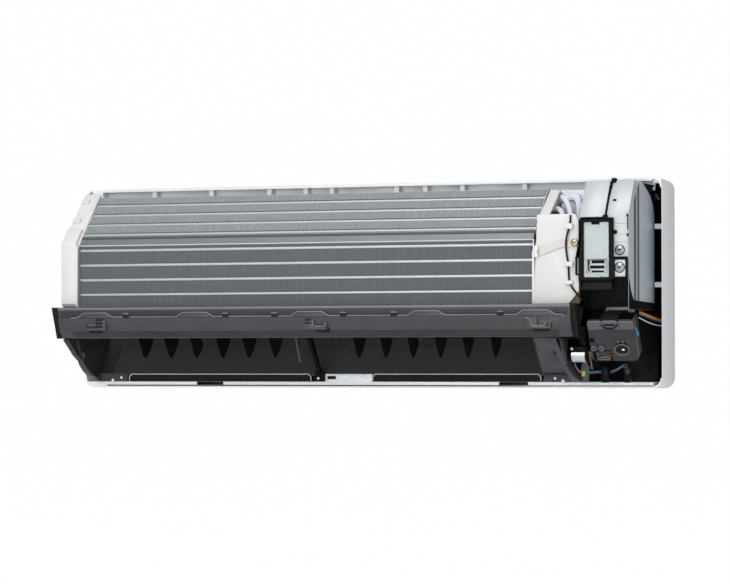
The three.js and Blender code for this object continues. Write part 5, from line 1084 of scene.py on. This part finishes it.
# The receiver's places lie across, up and out of its tilted face.
RECEIVER = [
    # Painted highlights: light rods along the top edges of the border and the latch.
    Piece("receiver_highlights", SLATE_HIGHLIGHT, "pan_slate", [
        Rod(((0.9, 50, 1), (0.9, 57.6, 1), (2.4, 59.8, 0.6), (19.5, 60.0, 0.6)), 1.1, 8),
        Rod(((41.4, 59.8, 0.6), (61.4, 59.8, 0.6), (63.1, 57.6, 1), (63.1, 50, 1)), 1.1, 8),
        Rod(((20.8, 60.6, 2.4), (23.6, 61.4, 2.4), (38.8, 61.4, 2.4), (41.6, 60.6, 2.4)), 1.1, 8),
    ]),
    # Painted shadow: a black sheet on the receiver's top face, under the box above.
    Piece("receiver_top_shadow", SHADOW_BLACK, "trim_black", [
        Flat(((1, 62.05, -1.2), (63, 62.05, -1.2), (63, 62.05, -21.6), (1, 62.05, -21.6)), (0, 0.3, 0), 0.08)
    ]),
    Piece("receiver_border", TRIM, "pan_slate", [
        patch((0.6, 20.5), (47.5, 60), (-0.4, 1.1), 0.8),
        patch((40.5, 63.4), (47.5, 60), (-0.4, 1.1), 0.8),
        Flat([
            (across, up, 1.0)
            for across, up in (
                (18.9, 49.6), (18.9, 58), (20.6, 61), (23.4, 62), (39, 62), (41.8, 61), (43.5, 58), (43.5, 49.6)
            )
        ], (0, 0, 1.7), 0.8),
    ]),
    Piece("receiver_disc", HOUSING, "pan_slate", [
        Turning(((0, 0.5), (7.2, 0.5), (8.0, -0.2), (0, -0.2)), (28.2, 37.6, 0), 32, FACE_OUT)
    ]),
    Piece("receiver_faces", HOUSING, "pan_slate", [
        patch((start, start + 6.6), (35.4, 42.0), (-0.1, 0.15), 0.06) for start in (0.8, 52.8)
    ]),
    Piece("receiver_holes", BLACK, "trim_black", [
        patch((23.6, 38.8), (54.4, 57.0), (2.6, 2.9), 0.1),
        patch((0.6, 6.8), (28.0, 34.5), (-0.1, 0.3), 0.1),
        patch((2.4, 29.4), (0.6, 16.4), (-0.1, 0.2), 0.08),
        Rod(((20.4, 56.6, 2.7), (22, 50.6, 2.7), (40.4, 50.6, 2.7), (42, 56.6, 2.7)), 2.0, 8, True),
    ]),
    Piece("receiver_brown", BOARD, "board_brown", [
        patch((51.2, 56), (29.6, 34.2), (-0.1, 0.25), 0.08),
        patch((9, 29), (12.2, 14.6), (0.1, 0.35), 0.08),
        patch((17, 29), (6.6, 10), (0.1, 0.35), 0.08),
        patch((7, 10), (8.6, 13.6), (0.1, 0.35), 0.08),
    ]),
    Piece("receiver_fittings", TRIM, "pan_slate", [
        *(Turning(GUIDE_RING, (across, 19.6, 0), 20, FACE_OUT) for across in (4.9, 15.6)),
        *(Turning(BUMP, (across, 28.8, 0), 14, FACE_OUT) for across in (39.4, 46.2)),
        Turning((
            (8.6, 0.2), (9.4, 1.0), (10.6, 1.0), (11.4, 0.2), (11.4, -0.3), (8.6, -0.3), (8.6, 0.2)
        ), CUP, 32, FACE_OUT, 0.8),
        Rod([
            (across, up, 1.3)
            for across, up in (
                (7.5, 13), (11, 8.5), (8.4, 5.5), (10, 2.5), (18, 3.4), (25, 2.6), (26.5, 5.4), (22, 6.8), (12.5, 6.0)
            )
        ], 2.3, 10, True),
    ]),
    Piece("receiver_well", FOAM, "rubber_black", [
        Turning(((0, 0.3), (8.8, 0.3), (8.8, -0.3), (0, -0.3)), CUP, 28, FACE_OUT, 0.8)
    ]),
    Piece("receiver_eye", LENS, "part_white", [patch((43.4, 46.8), (16.0, 18.4), (0.3, 0.7), 0.2)]),
    Piece("receiver_amber", BOARD, "board_brown", [patch((38.2, 49.4), (10.6, 12.0), (0.3, 0.5), 0.08)]),
    Piece("receiver_ribbon", CYAN, "wire_cyan", [
        Rod(((64.6, 50, -2), (66.5, 44, -4), (66.8, 36, -5)), 2.4, 8, True)
    ]),
]

# The louvre motor's shaft, the middle line of its lead, and the harness with each strand's lift above it.
SHAFT = (325.2, 128, -98.5)
LEAD = (
    (327, 128, -112), (329, 120, -122), (336, 112, -124.6), (348, 106, -123), (358, 102, -122.4),
    (370, 100, -123.4), (380, 104, -119.6), (390, 112, -114.6), (396, 118, -112),
)
HARNESS = (
    (408, 92, -41.5), (413, 82, -44), (420, 66, -48.5), (425.5, 52, -51.5), (430, 44, -52.5), (431, 20, -55)
)
STRANDS = (("red", RED, 3.0), ("orange", ORANGE, 0.8), ("yellow", PLUG, -1.0), ("blue", BLUE, -2.8))
WIRING = [
    Piece("motor_can", BRIGHT, "sheet_steel", [
        Turning(((0, 19.5), (9.2, 19.5), (10.9, 18.6), (10.95, 1), (10.95, 0), (0, 0)), SHAFT, 32, ACROSS)
    ]),
    Piece("motor_hood", BLACK, "trim_black", [
        Turning(((0, 4), (9.6, 4), (10.8, 3), (11.1, 0), (0, 0)), (344.7, 128, -98.5), 32, ACROSS),
        Block((322.6, 348.6), (126, 139.9), (-96.6, -86.2), 3.0),
    ]),
    Piece("motor_ear", PLATE, "sheet_steel", [
        Turning(((0, 1.2), (2.0, 1.1), (2.2, 0), (0, 0)), (326.6, 139.6, -91.2), 16)
    ]),
    *(
        Piece(f"harness_{name}", finish, "wire_orange", [
            Rod([(x, d - lift * 0.3, z + lift * 0.75) for x, d, z in HARNESS], 2.2, 10, True)
        ], ["side_harness"] if name == "red" else [])
        for name, finish, lift in STRANDS
    ),
    Piece("harness_white", PALE, "part_white", [
        Rod(((407, 90, -48), (412, 80, -52), (418, 66, -56), (424, 54, -58.6), (429, 46, -59)), 1.7, 10, True)
    ]),
    Piece("lead_cyan", CYAN, "wire_cyan", [
        Rod([(x, d, z + 0.9) for x, d, z in LEAD], 2.0, 10, True)
    ], ["louvre_motor_lead"]),
    Piece("lead_red", RED, "wire_orange", [Rod([(x, d - 0.5, z - 1.1) for x, d, z in LEAD], 1.5, 10, True)]),
    Piece("lead_plug", PLUG, "wire_orange", [Block((333.5, 338.2), (109, 116), (-128.6, -121.0), 0.6)]),
    Piece("lead_holders", BLACK, "trim_black", [
        Block((358.5, 369.0), (98, 108), (-137.2, -115), 1.0),
        Block((393.5, 402.0), (108, 119.6), (-137.2, -110.5), 1.2),
    ]),
    Piece("side_card", TAN, "board_brown", [
        upright(151.9, (
            (353.2, -94.8), (366.0, -94.8), (366.0, -99.6), (356.4, -101.4), (359.6, -119), (357.2, -119.6)
        ), -1.4, 0.2)
    ]),
    Piece("lead_rings", HOUSING, "trim_black", [
        Turning(((1.5, 0.8), (3.0, 0.8), (3.4, 0), (3.0, -0.8), (1.5, -0.8), (1.5, 0.8)), place, 18)
        for place in ((396.5, 120, -114.8), (399, 120, -121.6))
    ]),
]


@dataclass(frozen=True)
class Outlet:
    """The drain pan's and the outlet's small shapes, in millimetres."""

    pan: Pair = (-417.0, 341.0)
    rim_middle: Pair = (199.7, -33.0)
    rim_size: Pair = (3.2, 4.0)
    tabs: tuple[Pair, ...] = ((-385.7, -331.9), (-233.3, -177.8), (-61.4, -5.2), (110.9, 164.9), (265.9, 320.6))
    # The ledge, the tabs' tops, the knobs' tops and the hooks carry the light rods of the painted highlight.
    ledge: Pair = (199.7, -45.0)
    ledge_start: tuple[Place, Place] = ((-397, 199.7, -46.4), (-387, 199.7, -45.2))
    ledge_end: tuple[Place, Place] = ((330, 199.7, -45.4), (333, 199.0, -47.5))
    tab_top: Pair = (200.0, -39.2)
    tab_slopes: Pair = (9, 10)
    knobs: tuple[float, ...] = (-310.7, -158.8, -84.8, 16.9, 90.9, 243.3)
    knob_highlight: Pair = (200.9, -40.7)
    knob_highlight_reach: float = 4.6
    knob_reach: float = 5.0
    hooks: tuple[tuple[Place, ...], ...] = (
        (
            (-28, 200.9, -49.5), (-27, 200.9, -57.8), (-24, 200.9, -59.6), (-11.5, 200.9, -59.8), (-8.6, 200.9, -54.6)
        ),
        ((-374, 196.4, -58.6), (-370.5, 197.4, -56.4), (-358.5, 198.0, -56.2)),
        (
            (279, 200.7, -49.4), (285.6, 200.9, -51.4), (287, 200.9, -58.4), (290, 200.9, -60.4), (305, 200.9, -60.6),
            (308.4, 200.9, -55.2),
        ),
    )
    # The hook slots, like the knobs and the shades under the hooks, are drawn black as painted shade.
    slots: tuple[tuple[Pair, tuple[float, ...]], ...] = (
        ((-38.8, -30.0), (-51.9, -56.3)),
        ((-357, -346.4), (-50.4, -55.2, -60.0)),
    )
    slot_height: float = 2.9
    shades: tuple[Pair, ...] = ((-27, -5), (286, 311), (-372, -350))
    lips: tuple[Pair, Pair] = ((-364.0, -80.0), (13.0, 262.0))
    lip_face: float = 70.7
    lip_level: Pair = (-135.0, -125.7)
    lip_inset: float = 4.0
    lip_inner: float = 0.4
    lip_drop: float = 3.8
    screws: tuple[Place, ...] = (
        (-373.9, -130.6, 2.0), (-387.8, -134.4, 2.4), (284, -131.3, 2.0), (295.5, -134.6, 2.4), (-67, -131.6, 1.9)
    )

    def edges(self) -> list[Shape]:
        """The pan's painted highlights, as light rods on its edges.

        Returns:
            Rods along its stepped ledge, over the knobs' tops and along the hooks.
        """
        line = [*self.ledge_start]
        rise, fall = self.tab_slopes
        for start, end in self.tabs:
            top = [(start + rise, *self.tab_top), (end - fall, *self.tab_top)]
            line += [(start, *self.ledge), *top, (end, *self.ledge)]
        line += self.ledge_end
        ends = [(middle - self.knob_highlight_reach, middle + self.knob_highlight_reach) for middle in self.knobs]
        knob_highlights = [Rod(((left, *self.knob_highlight), (right, *self.knob_highlight)), 1.6, 8) for left, right in ends]
        return [Rod(line, 1.9, 8), *knob_highlights, *(Rod(hook, 1.6, 8) for hook in self.hooks)]

    def shade_marks(self) -> list[Shape]:
        """The pan's painted shade, in black.

        Returns:
            The knobs drawn black as painted shade, the slots' insides in black as painted shade and the painted shadow
            under each hook.
        """
        ends = [(middle - self.knob_reach, middle + self.knob_reach) for middle in self.knobs]
        knobs = [Block(wide, (198.9, 201.3), (-46.0, -41.2), 1.1) for wide in ends]
        slots = [
            Block(wide, (200.6, 201.2), (level, level + self.slot_height), 0.2)
            for wide, levels in self.slots
            for level in levels
        ]
        shades = []
        for left, right in self.shades:
            under = ((left, 195.2, -61.6), (left + 2, 192.4, -68.0), (right, 192.4, -68.0), (right, 195.2, -61.6))
            shades.append(Flat(under, (0, 0.35, 0), 0.1))
        return [*knobs, *slots, *shades]

    def lip(self, ends: Pair) -> Rod:
        """The light line over a seal's top and down its chamfers.

        Args:
            ends: the seal's ends across the width.

        Returns:
            The line.
        """
        low, high = self.lip_level
        left, right = ends
        start, end, fall = left + self.lip_inner, right - self.lip_inner, high - self.lip_drop
        line = [
            (start, low), (start, fall), (left + self.lip_inset, high), (right - self.lip_inset, high),
            (end, fall), (end, low),
        ]
        return Rod([(x, self.lip_face, z) for x, z in line], 1.1, 8)

    def dome(self, across: float, height: float, size: float) -> Turning:
        """A small round screw head on the bottom rail.

        Args:
            across: its place across the width.
            height: its height.
            size: its radius.

        Returns:
            The head.
        """
        profile = ((0, size * 0.8), (size * 0.6, size * 0.6), (size, 0.1), (size, -0.4), (0, -0.4))
        return Turning(profile, (across, 76.6, height), 16)

    def pieces(self) -> list[Piece]:
        """Lists the small pieces.

        Returns:
            The pieces, in order.
        """
        left, right = self.pan
        channel = ((left + 4, 199.9, -36.9), (left + 4, 198.45, -44.4), (right - 4, 198.45, -44.4),
                   (right - 4, 199.9, -36.9))
        band = ((left + 18, 193.3, -66.0), (left + 22, 185.3, -74.0), (right - 18, 185.3, -74.0),
                (right - 18, 193.3, -66.0))
        return [
            # Painted highlight: the rim bead in the light slate.
            Piece("pan_rim", SLATE_HIGHLIGHT, "pan_slate", [Bead(self.pan, self.rim_middle, self.rim_size)]),
            # Painted shade: a darker strip in the recessed channel.
            Piece("pan_channel", CHANNEL, "pan_slate", [Flat(channel, (0, 0.2, 0), 0.08)]),
            Piece("pan_band", BAND, "pan_slate", [Flat(band, (0, 0.3, 0), 0.08)]),
            # Painted highlights: light rods along the ledge, the knobs' tops and the hooks.
            Piece("pan_highlights", SLATE_HIGHLIGHT, "pan_slate", self.edges()),
            # Painted shade: the knobs, the hook slots and the shadow under each hook, in black.
            Piece("pan_shades", VANE, "pan_slate", self.shade_marks()),
            Piece("lip_lines", WHITE, "casing_white", [self.lip(ends) for ends in self.lips]),
            Piece("foot_screws", LENS, "part_white", [self.dome(*place) for place in self.screws]),
            Piece("outlet_rims", SLATE, "pan_slate", [
                section(-417.6, (
                    (151.2, -76.5), (144.8, -90.8), (136.5, -103.5), (128, -113.3), (116.6, -121.5), (102.6, -128.2),
                    (87.6, -132), (71, -134.5), (71, -130.5), (87, -128.6), (101.5, -124.8), (114.6, -118.6),
                    (125.6, -110.8), (133.8, -101.4), (141.8, -89.6), (148, -76.5),
                ), 9, 0.8),
                section(316.2, (
                    (175, -76), (168, -79.2), (153.6, -100.7), (129.4, -119.7), (104.9, -130.7), (72, -136),
                    (55.2, -133.6), (90.1, -122.5), (114.8, -108.8), (129.4, -92.4), (136, -76),
                ), 3.2, 1.1),
            ]),
            Piece("wedge_shade", BLACK, "trim_black", [
                section(316.05, (
                    (182, -77.9), (171.2, -84.9), (151.2, -99), (126.6, -110.8), (102, -124.8), (84, -133.4),
                    (60, -136), (60, -77.9),
                ), 0.15, 0.0)
            ]),
            # Painted highlight: the boss's ring in the light slate.
            Piece("left_boss", SLATE_HIGHLIGHT, "pan_slate", [
                Turning(((1.6, 0.9), (4.0, 0.9), (4.6, 0.4), (4.6, -0.3), (1.6, -0.3), (1.6, 0.9)),
                        (-411.3, 128, -98.5), 24, ACROSS)
            ]),
        ]


@dataclass(frozen=True)
class Pack:
    """A fin pack: its lower front corner, its lean, its ends' margins and its tubes."""

    name: str
    corner: Pair
    lean: float
    length: float
    margins: Pair
    tubes: tuple[int, int]
    grooved: bool = True

    def place(self, up: float, deep: float) -> Pair:
        """Finds a place in the pack.

        Args:
            up: how far up the pack.
            deep: how far into it.

        Returns:
            Its depth and height.
        """
        angle = math.radians(self.lean)
        along = (-math.sin(angle), math.cos(angle))
        return (
            self.corner[0] + along[0] * up - along[1] * deep,
            self.corner[1] + along[1] * up + along[0] * deep,
        )

    @property
    def pitch(self) -> float:
        """The distance between two tubes of a row."""
        return (self.length - sum(self.margins)) / (self.tubes[0] - 1)

    def spots(self, row: float) -> list[Pair]:
        """Lays out the tubes in the order that the refrigerant visits them.

        Args:
            row: the distance between the two rows.

        Returns:
            Depth and height of each tube.
        """
        first = [(self.margins[0] + self.pitch * i, row / 2) for i in range(self.tubes[0])]
        second = [(self.margins[0] + self.pitch * (i + 0.5), row * 1.5) for i in range(self.tubes[1])]
        order = [s for i, spot in enumerate(first) for s in ([spot, second[i]] if i < len(second) else [spot])]
        return [self.place(*spot) for spot in order]


@dataclass
class Coil:
    """The finned coil and its refrigerant tubes, in millimetres."""

    left: float = -393.0
    right: float = 283.0
    thickness: float = 25.4
    row: float = 12.7
    tube: float = 7.0
    fin_pitch: float = 1.3
    fin_wall: float = 0.4
    fin_proud: float = 0.8
    fin_sharp: float = 20.0
    stray: float = 0.25
    groove: Pair = (5.2, 3.0)
    chamfer: float = 0.3
    core_gap: float = 0.2
    collar_gap: float = 0.4
    collars: tuple[Place, Place] = ((0.0, 2.7, 5.5), (0.9, 1.9, 4.7))
    bend_start: float = 5.5
    bend_steps: int = 12
    tail: float = 12.0
    front_foot: Pair = (178.0, -44.996)
    front_top: float = 55.506
    rear_foot: Pair = (39.6, 57.594)
    rear_joint: Pair = (3.2, 1.2)
    strip_gap: float = 0.5
    # A light rod along the filler strip's edge is a painted highlight, and a dark sheet on the strip is painted shade.
    strip_highlight: Pair = (177.9, 57.2)
    strip_shade: tuple[Pair, ...] = ((170.2, 69.6), (171.9, 66.9), (172.4, 67.2), (170.7, 69.9))
    packs: list[Pack] = field(default_factory=list)

    def __post_init__(self) -> None:
        """Lays out the three packs."""
        length = self.front_top - self.front_foot[1]
        front = Pack("front_fin_pack", self.front_foot, 0.0, length, (11.1, 5.4), (5, 4))
        upper = Pack("upper_fin_pack", (168.5, self.front_top + 14.5), 46.0, 86.014, (6.5, 16.5), (4, 3))
        back = upper.place(upper.length, self.thickness)
        run = tuple(end - gap - start for end, gap, start in zip(back, self.rear_joint, self.rear_foot))
        lean = -math.degrees(math.atan2(*run))
        rear = Pack("rear_fin_pack", self.rear_foot, lean, math.hypot(*run), (12.0, 16.0), (3, 3), False)
        self.packs = [front, upper, rear]

    def outline(self, pack: Pack, inset: float) -> list[Pair]:
        """The edge of one fin, notched at its face for each front tube.

        Args:
            pack: the pack.
            inset: how far the outline lies inside the pack, in millimetres.

        Returns:
            Depth and height of each corner.
        """
        margin = inset * self.chamfer
        low, high, back = margin, pack.length - margin, self.thickness - margin
        corners: list[Pair] = [(low, inset)]
        if pack.grooved:
            half, floor = self.groove[0] / 2, self.groove[1] + inset / 2
            for i in range(pack.tubes[0]):
                middle = pack.margins[0] + pack.pitch * i
                corners += [(middle - half, inset), (middle - half, floor), (middle + half, floor)]
                corners.append((middle + half, inset))
        corners += [(high, inset), (high, back), (low, back)]
        return [pack.place(*corner) for corner in corners]

    def stack(self, pack: Pack) -> bpy.types.Mesh:
        """A pack's row of thin fins.

        Args:
            pack: the pack.

        Returns:
            Their mesh.
        """
        shape = bmesh.new()
        face = shape.faces.new([shape.verts.new(at(self.left, *place)) for place in self.outline(pack, 0.0)])
        extruded(shape, [face], at(self.fin_wall, 0, 0))
        count = int((self.right - self.left - self.stray) / self.fin_pitch)

        def rows(holder: bpy.types.Object) -> None:
            """Sets the array that repeats the fin.

            Args:
                holder: the helper object.
            """
            array = holder.modifiers.new("stack", "ARRAY")
            array.count = count
            array.use_relative_offset = False
            array.use_constant_offset = True
            array.constant_offset_displace = (self.fin_pitch * MM, 0, 0)

        mesh = evaluated(closed(shape, self.fin_sharp), rows)
        share = len(mesh.vertices) // count
        for i, vertex in enumerate(mesh.vertices):
            chance = math.sin((i // share + 1) * SCATTER[0]) * SCATTER[1]
            vertex.co.x += (chance - math.floor(chance) - 0.5) * self.stray * 2 * MM
        return mesh

    def serpentine(self, places: Sequence[Pair]) -> list[Vector]:
        """The centre line of one circuit.

        Args:
            places: depth and height of each run, in order.

        Returns:
            Points in metres.
        """
        sides = ((self.left - self.bend_start, -1), (self.right + self.bend_start, 1))
        points = [at(self.right + self.tail, *places[0])]
        for i, (here, there) in enumerate(zip(places, places[1:])):
            side, sign = sides[i % 2]
            start, end = at(side, *here), at(side, *there)
            half = (end - start) / 2
            for step in range(self.bend_steps + 1):
                angle = math.pi * step / self.bend_steps
                point = start + half - half * math.cos(angle)
                point.x += sign * half.length * math.sin(angle)
                points.append(point)
        points.append(at(self.right + self.tail, *places[-1]))
        return points

    def build_pack(self, shop: Workshop, pack: Pack) -> None:
        """Adds a pack's fins, their shaded core and the collars of its front tubes.

        Args:
            shop: the workshop.
            pack: the pack.
        """
        upper = pack.lean > 0
        fin, core = (UPPER_FIN_PAINTED_LIGHT, UPPER_CORE) if upper else (FIN, CORE)
        shop.add(pack.name + "_fins", [self.stack(pack)], fin, "fin_aluminium", replaces=[pack.name])
        corners = [at(self.left + self.core_gap, *place) for place in self.outline(pack, self.fin_proud)]
        run = at(self.right - self.left - 2 * self.core_gap, 0, 0)
        shop.add(pack.name + "_core", [sheet(corners, run, 0.0)], core, "fin_aluminium")
        if not pack.grooved:
            return
        drop, deep, size = self.collars[upper]
        lines = []
        for i in range(pack.tubes[0]):
            place = pack.place(pack.margins[0] + pack.pitch * i - drop, deep)
            lines.append([at(self.left + self.collar_gap, *place), at(self.right - self.collar_gap, *place)])
        shop.add(pack.name + "_collars", [tube(line, size) for line in lines], COLLAR, "fin_aluminium")

    def build(self, shop: Workshop) -> None:
        """Builds the packs, the tubes, a light rod along the filler strip's edge as painted highlight and a dark sheet
        on the strip as painted shade.

        Args:
            shop: the workshop.
        """
        for pack in self.packs:
            self.build_pack(shop, pack)
        front, upper, rear = (pack.spots(self.row) for pack in self.packs)
        for name, places in (("main_circuit", front + upper), ("rear_circuit", rear)):
            circuit = tube(self.serpentine(places), self.tube)
            shop.add(name, [circuit], COPPER, "tube_copper", replaces=[name + "_tubes"])
        left, right = self.left + self.strip_gap, self.right - self.strip_gap
        edge = Rod([(side, *self.strip_highlight) for side in (left, right)], 1.5, 8)
        shade = section(left, self.strip_shade, right - left, 0.1)
        strip = [
            Piece("strip_highlight", UPPER_FIN_PAINTED_LIGHT, "fin_aluminium", [edge]),
            Piece("strip_shade", CORE, "fin_aluminium", [shade]),
        ]
        shop.place(strip, at)
        shop.dress(STRIP, "coil_filler_strip")
        shop.dress(ZINC, "left_tube_sheet", "right_tube_sheet")


# A node that gets rounded edges: its name, its finish, the rounds' width in millimetres and their facets.
Round = tuple[str, Finish, float, int]


@dataclass
class Assembly:
    """A group of nodes with their finishes, and the new pieces that belong to it."""

    name: str
    rounds: Sequence[Round] = ()
    plain: Sequence[tuple[Finish, Sequence[str]]] = ()
    pieces: Sequence[Piece] = ()

    def build(self, shop: Workshop) -> None:
        """Rounds and dresses the nodes and adds the pieces.

        Args:
            shop: the workshop.
        """
        for node in self.rounds:
            shop.softened(*node)
        for finish, nodes in self.plain:
            shop.dress(finish, *nodes)
        shop.place(self.pieces, self.where)

    def where(self, across: float, depth: float, height: float) -> Vector:
        """The point at one of the pieces' places."""
        return at(across, depth, height)


@dataclass
class Receiver(Assembly):
    """The receiver box, whose pieces' places lie across, up and out of its tilted face."""

    left: float = 364.0
    foot: Pair = (169.892, -107.75)
    tilt: float = 28.0

    def where(self, across: float, up: float, out: float) -> Vector:
        """The point at a place on the tilted face.

        Args:
            across: across it.
            up: up it.
            out: out of it.

        Returns:
            The point.
        """
        angle = math.radians(self.tilt)
        return at(
            self.left + across,
            self.foot[0] + up * math.sin(angle) + out * math.cos(angle),
            self.foot[1] + up * math.cos(angle) - out * math.sin(angle),
        )


SIDES = ("left", "right")
VANES_A_SIDE = 6
ASSEMBLIES = (
    Assembly("casing", [("rear_casing", WHITE, 0.7, 2)], [(BLACK, ["compartment_liner"])], CASING),
    Assembly(
        "outlet",
        [("drain_pan", SLATE, 0.9, 2), ("outlet_end_left", CHANNEL, 0.6, 2), ("outlet_end_right", SLATE, 0.6, 2)],
        [
            (GUIDE, ["air_guide"]),
            (BLACK, ["centre_strut"]),
            (FOAM, [f"{part}_{side}" for part in ("lip_seal", "end_foam") for side in SIDES]),
        ],
        Outlet().pieces(),
    ),
    Assembly("vanes and fan", plain=[
        (VANE, [f"{side}_vane_{i + 1}" for side in SIDES for i in range(VANES_A_SIDE)]),
        (HOUSING, [f"{side}_link_bar" for side in SIDES]),
        (GUIDE, ["cross_flow_fan"]),
        (ZINC, ["motor_shaft", "motor_clamp"]),
        (BLACK, ["fan_motor", "motor_cradle"]),
        (RUBBER, ["bearing_bush"]),
    ]),
    Assembly(
        "side parts",
        [
            *((node, COVER, 0.7, 2) for node in ("right_bracket", "left_cover_lower", "left_cover_upper")),
            ("sensor_strap", STRAP, 0.3, 1),
        ],
        [(SLEEVE, ["link_pipe", "gas_pipe", "liquid_pipe"])],
        SIDE_PARTS,
    ),
    Assembly(
        "electrical box",
        [
            ("box_base", BLACK, 0.8, 2),
            *((f"{side}_shield", SHIELD, 0.5, 2) for side in SIDES),
            ("terminal_frame", BLACK, 0.7, 2),
        ],
        pieces=CONTROL_BOX,
    ),
    Receiver(
        "receiver",
        [("receiver_cover", HOUSING, 0.8, 3), ("receiver_base", RUBBER, 0.8, 2)],
        [(BOARD, ["receiver_board"]), (HOUSING, ["test_button"])],
        RECEIVER,
    ),
    Assembly("wiring", [("louvre_motor", BLACK, 0.5, 2)], [(LENS, ["louvre_drive"])], CABLE_COVER + WIRING),
)


def paper(name: str, white: float = 0.9, glow: float = 0.99) -> bpy.types.Material:
    """A pale sheet that the camera sees as white, and that keeps shadows.

    Args:
        name: the material's name.
        white: its color and roughness in other light.
        glow: how much of what the camera sees is its own light.

    Returns:
        The material.
    """
    material = bpy.data.materials.new(name)
    material.use_nodes = True
    tree = material.node_tree
    shader = tree.nodes["Principled BSDF"]
    shader.inputs["Base Color"].default_value = (white, white, white, 1)
    shader.inputs["Roughness"].default_value = white
    seen = add_node(tree, "LightPath", {}).outputs["Is Camera Ray"]
    share = add_node(tree, "Math", {0: seen, 1: glow}, operation="MULTIPLY")
    light = add_node(tree, "Emission", {})
    mix = add_node(tree, "MixShader", {0: share.outputs[0], 1: shader.outputs[0], 2: light.outputs[0]})
    tree.links.new(mix.outputs[0], tree.nodes["Material Output"].inputs["Surface"])
    return material


@dataclass(frozen=True)
class Lamp:
    """A square soft lamp: its place and side in metres, its power in watts and the point that it faces."""

    name: str
    place: Place
    size: float
    power: float
    aim: Place

    def build(self) -> None:
        """Hangs the lamp."""
        light = bpy.data.lights.new(self.name, "AREA")
        light.shape = "SQUARE"
        light.size = self.size
        light.energy = self.power
        holder = bpy.data.objects.new(self.name, light)
        holder.location = self.place
        holder.rotation_euler = (Vector(self.aim) - Vector(self.place)).to_track_quat("-Z", "Y").to_euler()
        bpy.context.scene.collection.objects.link(holder)


@dataclass(frozen=True)
class Studio:
    """The pale sweep, the soft lights and the camera, in metres."""

    floor: float = -0.42
    wall: float = 9.0
    height: float = 6.0
    reach: float = 9.0
    bend: float = 1.2
    bend_steps: int = 12
    ambient: float = 0.42
    lens: float = 151.6
    sensor: float = 36.0
    eye: Place = (1.49295, -4.16786, -0.1211)
    tilt: float = 91.47
    azimuth: float = 20.0
    clip: Pair = (0.1, 50.0)
    paper_smooth: float = 80.0
    lamps: tuple[Lamp, ...] = (
        Lamp("key", (-0.2, -2.4, 2.4), 1.8, 46, (0, -0.1, 0)),
        Lamp("top", (0.3, -0.6, 2.6), 1.6, 10, (0.1, -0.1, 0)),
        Lamp("front", (-0.5, -4.4, 0.5), 2.0, 42, (0, -0.1, 0)),
        Lamp("side", (2.4, -1.8, 0.3), 1.6, 11, (0.3, -0.1, 0)),
        Lamp("low", (0.2, -3.0, -0.25), 1.4, 11, (0, -0.1, -0.05)),
    )

    def sweep(self) -> None:
        """Lays one paper sweep from the floor up the backdrop."""
        line = [(-self.reach, self.floor)]
        for step in range(self.bend_steps + 1):
            angle = math.radians(90 * step / self.bend_steps)
            out, up = self.bend * (math.sin(angle) - 1), self.bend * (1 - math.cos(angle))
            line.append((self.wall + out, self.floor + up))
        line.append((self.wall, self.height))
        shape = bmesh.new()
        verts = [shape.verts.new((-self.reach, y, z)) for y, z in line]
        edges = [shape.edges.new(pair) for pair in zip(verts, verts[1:])]
        run = bmesh.ops.extrude_edge_only(shape, edges=edges)
        moved = [item for item in run["geom"] if isinstance(item, bmesh.types.BMVert)]
        bmesh.ops.translate(shape, verts=moved, vec=Vector((2 * self.reach, 0, 0)))
        mesh = closed(shape, self.paper_smooth)
        mesh.materials.append(paper("studio_paper"))
        piece = bpy.data.objects.new("sweep", mesh)
        bpy.context.scene.collection.objects.link(piece)

    def light(self) -> None:
        """Lights the scene: a soft world, which the camera sees as white, and the lamps."""
        world = bpy.data.worlds.new("studio")
        bpy.context.scene.world = world
        world.use_nodes = True
        tree = world.node_tree
        base = tree.nodes["Background"]
        base.inputs["Color"].default_value = (1, 1, 1, 1)
        seen = add_node(tree, "LightPath", {}).outputs["Is Camera Ray"]
        level = add_node(tree, "MapRange", {"To Min": self.ambient, "To Max": 1.0, "Value": seen})
        tree.links.new(level.outputs["Result"], base.inputs["Strength"])
        for lamp in self.lamps:
            lamp.build()

    def build(self) -> None:
        """Builds the stage, the lights and the camera."""
        self.sweep()
        self.light()
        lens = bpy.data.cameras.new("camera")
        lens.lens = self.lens
        lens.sensor_width = self.sensor
        lens.clip_start, lens.clip_end = self.clip
        camera = bpy.data.objects.new("camera", lens)
        camera.location = self.eye
        camera.rotation_euler = (math.radians(self.tilt), 0, math.radians(self.azimuth))
        bpy.context.scene.collection.objects.link(camera)
        bpy.context.scene.camera = camera
        bpy.context.scene.view_settings.view_transform = "Standard"


def main() -> None:
    """Builds the scene, assembly by assembly."""
    logging.basicConfig(level=logging.INFO, format="%(name)s: %(message)s")
    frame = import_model()
    Studio().build()
    shop = Workshop(frame)
    Coil().build(shop)
    for assembly in ASSEMBLIES:
        assembly.build(shop)
        LOG.info("%s done", assembly.name)
    LOG.info("%d new pieces", shop.count)


if __name__ == "__main__":
    main()
